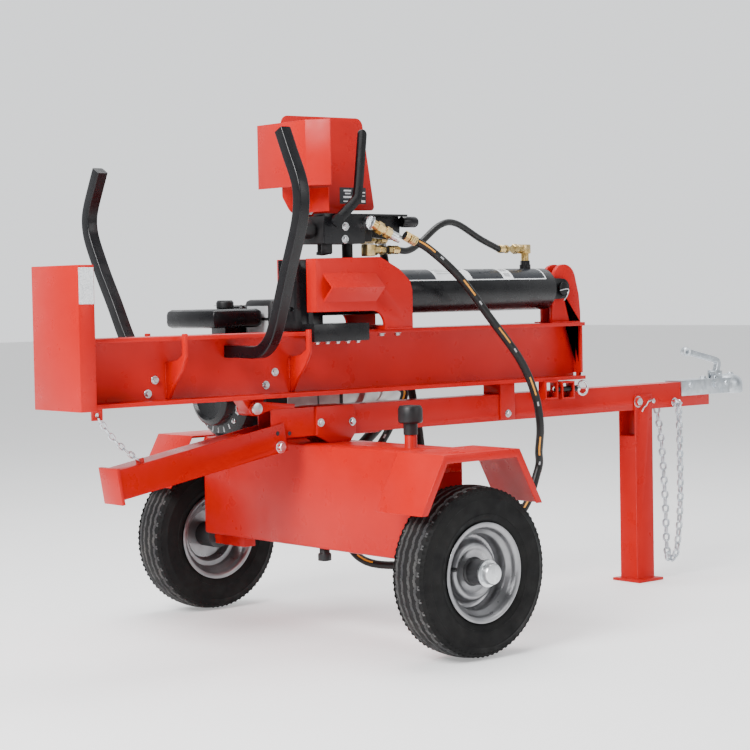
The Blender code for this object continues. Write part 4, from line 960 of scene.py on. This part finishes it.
def valve():
    """The spool valve: body, spring cap, handle plate, relief end, two brass inlets and the lever."""
    body = joined(
        box((-0.05, -0.074, 0.979), (0.078, 0.0195, 1.049), 0.003),
        box((0.078, -0.06, 0.985), (0.118, 0.01, 1.045), 0.004),
        turned([(0, 0), (0.017, 0), (0.017, 0.01), (0.024, 0.011), (0.024, 0.04), (0.021, 0.045), (0, 0.045)],
               (-0.05, -0.0275, 1.016), (-1, 0, 0), 28),
        turned([(0, 0), (0.014, 0), (0.014, 0.022), (0.011, 0.026), (0, 0.026)], (-0.025, -0.05, 0.979),
               (0, 0, -1), 20),
        turned([(0, 0), (0.012, 0), (0.012, 0.018), (0.015, 0.019), (0.015, 0.026), (0, 0.028)],
               (0.0, 0.0, 0.979), (0, 0, -1), 20),
        stub(0.014, 0.064, (0.06, -0.0275, 0.915), (0, 0, 1), 24),
    )
    piece("control_valve_body", body, CASTING, "beam", 40, replaces=("control_valve",))
    plate = filleted([(-0.052, 0.979, 0.003), (0.079, 0.979, 0.003), (0.079, 1.000, 0.0), (0.084, 1.01, 0.0),
                      (0.084, 1.053, 0.006), (-0.052, 1.053, 0.003)])
    relief = filleted([(0.078, 1.000, 0.004), (0.222, 0.988, 0.003), (0.225, 1.03, 0.006),
                       (0.218, 1.055, 0.004),
                       (0.078, 1.055, 0.004)])
    handle = joined(
        prism(plate, "Y", -0.0752, -0.0712, 0.0008),
        prism(relief, "Y", -0.044, -0.033, 0.0012),
        box((-0.052, -0.074, 1.0495), (0.225, -0.033, 1.0545), 0.001),
        turned([(0, 0), (0.013, 0), (0.0145, 0.003), (0.0145, 0.045), (0.0125, 0.05), (0, 0.052)],
               (0.223, -0.05, 1.036), (1, 0, 0), 24),
    )
    piece("control_valve_plate", handle, BLACK, "beam", 40)

    aim = Vector((0.0767, -0.0155, -0.0388)).normalized()
    start = Vector((0.096, -0.082, 1.03))
    port = joined(
        stub(0.018, 0.03, (0.09, -0.056, 1.031), (0.05, -1, 0), 24),
        stub(0.0185, 0.0022, start - aim * 0.004, aim, 28),
    )
    piece("inlet_boss", port, STEEL, "beam", 40)
    steps = joined(
        stub(0.0125, 0.018, start, aim, 24),
        hexagon(0.027, 0.02, start + aim * 0.016, aim, 0.002),
        stub(0.0105, 0.01, start + aim * 0.035, aim, 24),
        hexagon(0.025, 0.018, start + aim * 0.043, aim, 0.002),
    )
    piece("inlet_fitting", steps, BRASS, "beam", 35)
    sleeve = turned([(0, 0), (0.0115, 0), (0.0125, 0.002), (0.0112, 0.006), (0.0125, 0.01), (0.0112, 0.014),
                     (0.0125, 0.018), (0.0115, 0.022), (0.0105, 0.03), (0, 0.03)],
                    start + aim * 0.06, aim, 24)
    piece("inlet_sleeve", sleeve, STEEL, "beam", 50)
    work = joined(
        box((0.088, -0.073, 0.948), (0.116, -0.047, 0.978), 0.003),
        hexagon(0.024, 0.016, (0.116, -0.06, 0.964), (1, 0, 0), 0.002),
        stub(0.0095, 0.01, (0.132, -0.06, 0.964), (1, 0, 0), 20),
        hexagon(0.022, 0.014, (0.14, -0.06, 0.964), (1, 0, 0), 0.002),
    )
    piece("work_port_elbow", work, BRASS, "beam", 35)
    back = joined(
        stub(0.012, 0.016, (0.116, 0.004, 0.995), (1, 0, 0), 20),
        hexagon(0.026, 0.02, (0.132, 0.004, 0.995), (1, 0, 0), 0.002),
        hexagon(0.024, 0.022, (0.154, 0.004, 0.995), (1, 0, 0), 0.002),
    )
    piece("return_port_fitting", back, BRASS, "beam", 35)

    outline = strip([(LEVER_X, LEVER_Z), (0.000, 1.06), (0.03, 1.086), (0.036, 1.096), (0.04, 1.12),
                     (0.055, 1.25)],
                    0.0128)
    lever = joined(
        prism(outline, "Y", -0.104, -0.096, 0.001),
        turned([(0, 0), (0.0155, 0), (0.016, 0.001), (0.016, 0.0085), (0, 0.0085)], (LEVER_X, -0.0958, LEVER_Z),
               (0, -1, 0), 28),
    )
    piece("control_lever_bar", lever, BLACK, "control_lever", 35, replaces=("control_lever",))
    piece("control_lever_bolt", bolt((LEVER_X, -0.0955, LEVER_Z), (0, -1, 0), 0.013, 0.0055, False), STEEL,
          "control_lever", 25)


def guard_panel():
    corners = [(-0.105, 1.098, 0.02), (-0.105, 1.301, 0.02), (0.156, 1.304, 0.022), (0.195, 1.068, 0.01),
               (0.1, 1.066, 0.004), (0.1, 1.03, 0.0), (-0.03, 1.03, 0.0), (-0.03, 1.056, 0.0),
               (-0.078, 1.056, 0.03)]
    panel = joined(
        prism(filleted(corners), "Y", 0.0206, 0.0244, 0.0008),
        box((-0.042, -0.0815, 1.059), (-0.039, 0.022, 1.1175), 0.0008),
    )
    piece("valve_guard_panel", panel, RED, "beam", 35, replaces=("valve_guard",))
    face = 0.0204
    piece("guard_label", box((0.078, face, 1.084), (0.166, 0.0207, 1.126), 0.0001, 1), DARK_LABEL_AND_HOLE_SHADE, "beam")
    marks = [(0.092, 0.116, 1.116, 1.12), (0.096, 0.114, 1.109, 1.112), (0.09, 0.117, 1.099, 1.104),
             (0.09, 0.12, 1.089, 1.092), (0.148, 0.163, 1.112, 1.115), (0.148, 0.162, 1.104, 1.106),
             (0.15, 0.163, 1.088, 1.094)]
    bars = joined(*[box((a, face - 0.0002, low), (b, face + 0.0002, high)) for a, b, low, high in marks])
    piece("guard_label_marks", bars, PALE, "beam")
    studs = joined(*[bolt((x, 0.0206, 1.062), (0, -1, 0), 0.01, 0.004) for x in (0.085, -0.02)])
    piece("guard_bolts", studs, STEEL, "beam", 25)


def cylinder_fittings():
    """Label strip, rear port, base pin with its clip."""
    piece("barrel_label", on_barrel(0.205, 0.752, 4, 62, 0.0003), PALE, "beam", 60)
    panels = [(0.208, 0.344), (0.474, 0.59), (0.628, 0.748)]
    patches = [on_barrel(a, b, 7, 59, 0.0005) for a, b in panels]
    piece("barrel_label_panels", joined(*patches), DARK_LABEL_AND_HOLE_SHADE, "beam", 60)
    marks = [(0.352, 0.462, 12, 20), (0.356, 0.43, 27, 31), (0.356, 0.445, 37, 40), (0.598, 0.62, 14, 30),
             (0.598, 0.62, 38, 52)]
    patches = [on_barrel(*mark, 0.0006) for mark in marks]
    piece("barrel_label_marks", joined(*patches), GREY, "beam", 60)

    top = BARREL_Z + BARREL_RADIUS
    piece("rear_port_boss", joined(
        stub(0.0155, 0.014, (REAR_PORT_X, 0, top - 0.003), (0, 0, 1), 24),
        hexagon(0.024, 0.012, (REAR_PORT_X, 0, top + 0.01), (0, 0, 1), 0.001)), BLACK, "beam", 35)
    piece("rear_port_body", joined(
        stub(0.011, 0.03, (REAR_PORT_X, 0, top + 0.02), (0, 0, 1), 20),
        box((0.707, -0.0125, 0.955), (0.732, 0.0125, 0.9805), 0.003),
        hexagon(0.022, 0.016, (0.707, 0, 0.968), (-1, 0, 0), 0.0015),
        hexagon(0.024, 0.016, (0.689, 0, 0.968), (-1, 0, 0), 0.0015)), BRASS, "beam", 35,
        replaces=("rear_port_elbow",))
    clip = tube(even_route([(0.812, -0.043, 0.852), (0.84, -0.044, 0.856), (0.846, -0.044, 0.85),
                            (0.838, -0.044, 0.835), (0.826, -0.044, 0.824)], 0.003), 0.0016, 8)
    piece("base_pin_clip", clip, STEEL, "beam", 60)


def latch_details():
    along = (1, 0, 0)
    profile = [(0, 0), (0.006, 0), (0.0079, 0.003), (0.0079, 0.0915), (0, 0.0915)]
    piece("latch_pin_shank", turned(profile, LATCH, along, 24), BLACK, "latch_pin", 40, replaces=("latch_pin",))
    pull = joined(
        ring(LATCH + Vector((0.110, 0, 0)), (0, 1, 0), 0.0195, 0.0033),
        stub(0.0095, 0.010, LATCH + Vector((0.082, 0, 0)), along, 20),
    )
    piece("latch_pin_ring", pull, STEEL, "latch_pin", 45)


def coupler_details():
    route = [(1.521, 0, 0.572), (1.53, 0, 0.598), (1.537, 0, 0.618), (1.53, 0, 0.63), (1.5, 0, 0.638),
             (1.45, 0, 0.649), (1.396, 0, 0.661)]
    places = even_route(route, 0.004)
    lever = joined(
        square_bar(places, (0, 1, 0), 0.0085, 0.0025),
        turned([(0.0065, -0.009), (0.0125, -0.009), (0.0135, -0.007), (0.0135, 0.007), (0.0125, 0.009),
                (0.0065, 0.009)], (1.391, 0, 0.662), (0.25, 0.95, 0.2), 28, closed=True),
        turned([(0, -0.0125), (0.01, -0.0125), (0.01, 0.0125), (0, 0.0125)], COUPLER_PIVOT, (0, 1, 0), 24),
    )
    piece("coupler_lever_casting", lever, GALVANISED, "coupler_lever", 45, replaces=("coupler_lever",))
    heads = joined(
        *[bolt((1.485, side * 0.0326, 0.56), (0, side, 0), 0.016, 0.007) for side in (-1, 1)],
        *[turned([(0, 0), (0.0085, 0), (0.0065, 0.0035), (0, 0.0048)], (x, side * 0.0325, 0.563),
                 (0, side, 0), 20)
          for x in (1.375, 1.54) for side in (-1, 1)],
        turned([(0, 0), (0.012, 0), (0.011, 0.004), (0.007, 0.009), (0, 0.0105)], (1.598, 0, 0.583),
               (0, 0, 1), 24),
        bolt((1.47, 0, 0.5772), (0, 0, 1), 0.016, 0.007),
    )
    piece("coupler_bolts", heads, GALVANISED, "chassis", 30)


def tongue_details():
    """The bolts through the tongue, with the stand's lock pin and clip."""
    through = joined(
        *[bolt((-0.17, side * 0.0345, 0.48), (0, side, 0), 0.0185, 0.0075) for side in (-1, 1)],
        *[bolt((1.14, side * 0.0331, STAND_Z), (0, side, 0), 0.0205, 0.008) for side in (-1, 1)],
        *[bolt((1.305, side * 0.0283, 0.515), (0, side, 0), 0.017, 0.007) for side in (-1, 1)],
    )
    piece("tongue_bolts", through, STEEL, "chassis", 25)
    shackle = joined(*[ring((1.306, side * 0.04, 0.513), (0.25, 0.2, 1), 0.0105, 0.0034) for side in (-1, 1)])
    piece("safety_chain_shackles", shackle, GALVANISED, "safety_chain", 45)
    lock = joined(
        *[turned([(0, 0), (0.0064, 0), (0.0064, 0.0165), (0.005, 0.018), (0, 0.018)],
                 (1.19, side * 0.0326, STAND_Z), (0, side, 0), 20) for side in (-1, 1)],
    )
    piece("stand_lock_pin", lock, STEEL, "front_stand", 40)
    clip = tube(even_route([(1.196, -0.045, 0.531), (1.184, -0.0455, 0.527), (1.17, -0.0465, 0.524),
                            (1.16, -0.0465, 0.513), (1.15, -0.0465, 0.508), (1.143, -0.046, 0.496)], 0.003),
                0.0017, 8)
    piece("stand_lock_clip", clip, STEEL, "front_stand", 60)
    # Painted shade: thin dark discs on the leg's near face stand in for the shade inside its two holes.
    holes = joined(*[stub(0.0055, 0.0004, (x, -0.034, z), (0, -1, 0), 20)
                     for x, z in ((-0.179, 0.514), (-0.142, 0.512))])
    piece("leg_hole_shade", holes, DARK_LABEL_AND_HOLE_SHADE, "rear_leg", 40)
    collar = turned([(0.0157, 0), (0.0175, 0), (0.0175, 0.027), (0.0157, 0.027)], (0, FILLER_Y, 0.513),
                    (0, 0, 1), 28, closed=True)
    piece("filler_neck_sleeve", collar, PLASTIC, "chassis", 40)


def engine_details():
    """Fins, covers, shroud slots, panels and guard on the engine, which stands behind the beam."""
    fins = [box((-0.035, 0.1952, 0.6885 + 0.0115 * k), (0.155, 0.3588, 0.6905 + 0.0115 * k), 0.0005, 1)
            for k in range(5)]
    piece("head_fins", joined(*fins), ALUMINIUM, "chassis", 40)
    side = CRANKCASE_SIDE
    covers = joined(
        box((0.010, side - 0.0035, 0.520), (0.110, side + 0.0005, 0.610), 0.0015),
        box((0.115, side - 0.0035, 0.530), (0.185, side + 0.0005, 0.640), 0.0015),
        box((-0.050, side - 0.0030, 0.620), (0.050, side + 0.0005, 0.670), 0.0012),
    )
    piece("engine_side_covers", covers, ALUMINIUM, "chassis", 40)
    places = [(x, z) for x in (0.016, 0.104) for z in (0.526, 0.604)]
    places += [(x, z) for x in (0.121, 0.179) for z in (0.536, 0.634)]
    heads = [bolt((x, side - 0.0035, z), (0, -1, 0), 0.008, 0.004) for x, z in places]
    piece("engine_cover_bolts", joined(*heads), STEEL, "chassis", 25)
    engine_shroud()
    engine_panels()
    starts = [HEAD_START + 0.016 * k for k in range(10)]
    guard = [box((start, 0.315, 0.8275), (start + 0.008, 0.430, 0.8295), 0.0005, 1) for start in starts]
    piece("muffler_guard", joined(*guard), ALUMINIUM, "chassis", 40)
    boot = [(0, 0), (0.010, 0), (0.010, 0.014), (0.006, 0.018), (0.006, 0.030), (0, 0.030)]
    lead = [(0.185, 0.250, 0.712), (0.192, 0.250, 0.716), (0.192, 0.250, 0.735), (0.180, 0.235, 0.745),
            (0.165, 0.215, 0.735)]
    plug = joined(turned(boot, (0.155, 0.250, 0.712), (1, 0, 0), 16), tube(even_route(lead, 0.005), 0.0035, 10))
    piece("spark_plug_lead", plug, PLASTIC, "chassis", 40)


def engine_shroud():
    """The slots round the starter housing and the four screws that hold it."""
    slots = []
    count = 24
    for k in range(count):
        slot = box((SHROUD_X - 0.0715, 0.087, -0.0022), (SHROUD_X - 0.0695, 0.101, 0.0022), 0.0004, 1)
        slot.transform(Matrix.Rotation(2 * math.pi * k / count, 4, "X"))
        slot.transform(Matrix.Translation((0, CRANK_Y, CRANK_Z)))
        slots.append(slot)
    piece("fan_shroud_slots", joined(*slots), GREY, "chassis", 40)
    reach = 0.0955
    screws = []
    for angle in [math.radians(45 + 90 * k) for k in range(4)]:
        place = (SHROUD_X - 0.0705, CRANK_Y + reach * math.cos(angle), CRANK_Z + reach * math.sin(angle))
        screws.append(bolt(place, (-1, 0, 0), 0.008, 0.004))
    piece("fan_shroud_screws", joined(*screws), STEEL, "chassis", 25)


def engine_panels():
    """Two plain rimmed panels on the air cleaner's near side with bars for print, and two on its end."""
    near = CRANK_Y - 0.105
    rows = (0.758, 0.796)
    rims = [box((-0.018, near - 0.001, z), (0.118, near + 0.0002, z + 0.030), 0.0004, 1) for z in rows]
    piece("air_cleaner_panels", joined(*rims), GREY, "chassis", 40)
    faces = [box((-0.014, near - 0.0014, z + 0.003), (0.114, near - 0.0006, z + 0.027), 0.0003, 1)
             for z in rows]
    piece("air_cleaner_panel_faces", joined(*faces), DARK_LABEL_AND_HOLE_SHADE, "chassis", 40)
    bars = [(-0.008, 0.030, 0.769, 0.777), (0.050, 0.104, 0.766, 0.770), (0.010, 0.060, 0.809, 0.813),
            (0.070, 0.100, 0.805, 0.809)]
    marks = [box((a, near - 0.0018, low), (b, near - 0.0012, high)) for a, b, low, high in bars]
    piece("air_cleaner_marks", joined(*marks), PALE, "chassis", 40)
    ends = [box((HEAD_START - 0.001, 0.190, z), (HEAD_START + 0.0002, 0.280, z + 0.030), 0.0004, 1)
            for z in rows]
    piece("air_cleaner_end_panels", joined(*ends), GREY, "chassis", 40)


def reflector_patch():
    """A strip of reflective tape on the near side of the foot plate."""
    tape = box((-0.779, -0.1007, 0.842), (-0.74, -0.1, 0.924), 0.0002, 1)
    piece("reflector_patch", tape, TAPE, "beam")


def camera():
    ahead = Vector((-math.sin(CAMERA_AZIMUTH) * math.cos(CAMERA_ELEVATION),
                    math.cos(CAMERA_AZIMUTH) * math.cos(CAMERA_ELEVATION), -math.sin(CAMERA_ELEVATION)))
    right = ahead.cross(Vector((0, 0, 1))).normalized()
    up = right.cross(ahead)
    tilted = right * math.cos(CAMERA_ROLL) + up * math.sin(CAMERA_ROLL)
    above = tilted.cross(ahead)
    data = bpy.data.cameras.new("camera")
    data.sensor_width = SENSOR_WIDTH
    data.lens = CAMERA_LENS
    data.clip_end = 100
    made = bpy.data.objects.new("camera", data)
    bpy.context.scene.collection.objects.link(made)
    turn = Matrix((tilted, above, -ahead)).transposed().to_4x4()
    made.matrix_world = Matrix.Translation(CAMERA_PLACE + SHIFT) @ turn
    bpy.context.scene.camera = made


def studio():
    s = Shader("pale_floor", (0.86, 0.86, 0.86), 0.0, 0.7)
    s.bsdf.inputs["Emission Color"].default_value = (1, 1, 1, 1)
    s.bsdf.inputs["Emission Strength"].default_value = 0.35
    s.colour(s.tint(s.noise(2.0, 3), [(0.3, (0.85, 0.85, 0.85)), (0.7, (0.88, 0.88, 0.88))]))
    floor = piece("floor", box((-30, -30, -0.02), (30, 30, -0.0005)), s.material, None)
    world = bpy.data.worlds.new("studio")
    world.use_nodes = True
    nodes = world.node_tree.nodes
    links = world.node_tree.links
    direction = nodes.new("ShaderNodeTexCoord")
    facing = nodes.new("ShaderNodeVectorMath")
    facing.operation = "DOT_PRODUCT"
    facing.inputs[1].default_value = (0.65, 0.76, 0.0)
    strength = nodes.new("ShaderNodeMapRange")
    strength.inputs["From Min"].default_value = -0.3
    strength.inputs["From Max"].default_value = 0.75
    strength.inputs["To Min"].default_value = 0.22
    strength.inputs["To Max"].default_value = 1.4
    links.new(direction.outputs["Generated"], facing.inputs[0])
    links.new(facing.outputs["Value"], strength.inputs["Value"])
    links.new(strength.outputs["Result"], nodes["Background"].inputs["Strength"])
    nodes["Background"].inputs["Color"].default_value = (0.96, 0.98, 1.0, 1)
    bpy.context.scene.world = world
    for name, place, size, power in (
        ("key", (-4.2, -1.2, 3.4), 2.2, 430),
        ("fill", (1.5, -4.5, 2.6), 2.6, 70),
        ("top", (0.3, 0.6, 4.6), 2.6, 190),
    ):
        data = bpy.data.lights.new(name, "AREA")
        data.energy = power
        data.size = size
        light = bpy.data.objects.new(name, data)
        light.location = place
        light.rotation_euler = (Vector((0, 0, 0.6)) - Vector(place)).to_track_quat("-Z", "Y").to_euler()
        bpy.context.scene.collection.objects.link(light)


camera()
studio()
painted_metal()
for SIDE, WORD in ((-1, "near"), (1, "far")):
    wheel(SIDE, WORD)
bolts()
welds()
chains()
hoses()
log_arms()
valve()
guard_panel()
cylinder_fittings()
latch_details()
coupler_details()
tongue_details()
engine_details()
reflector_patch()
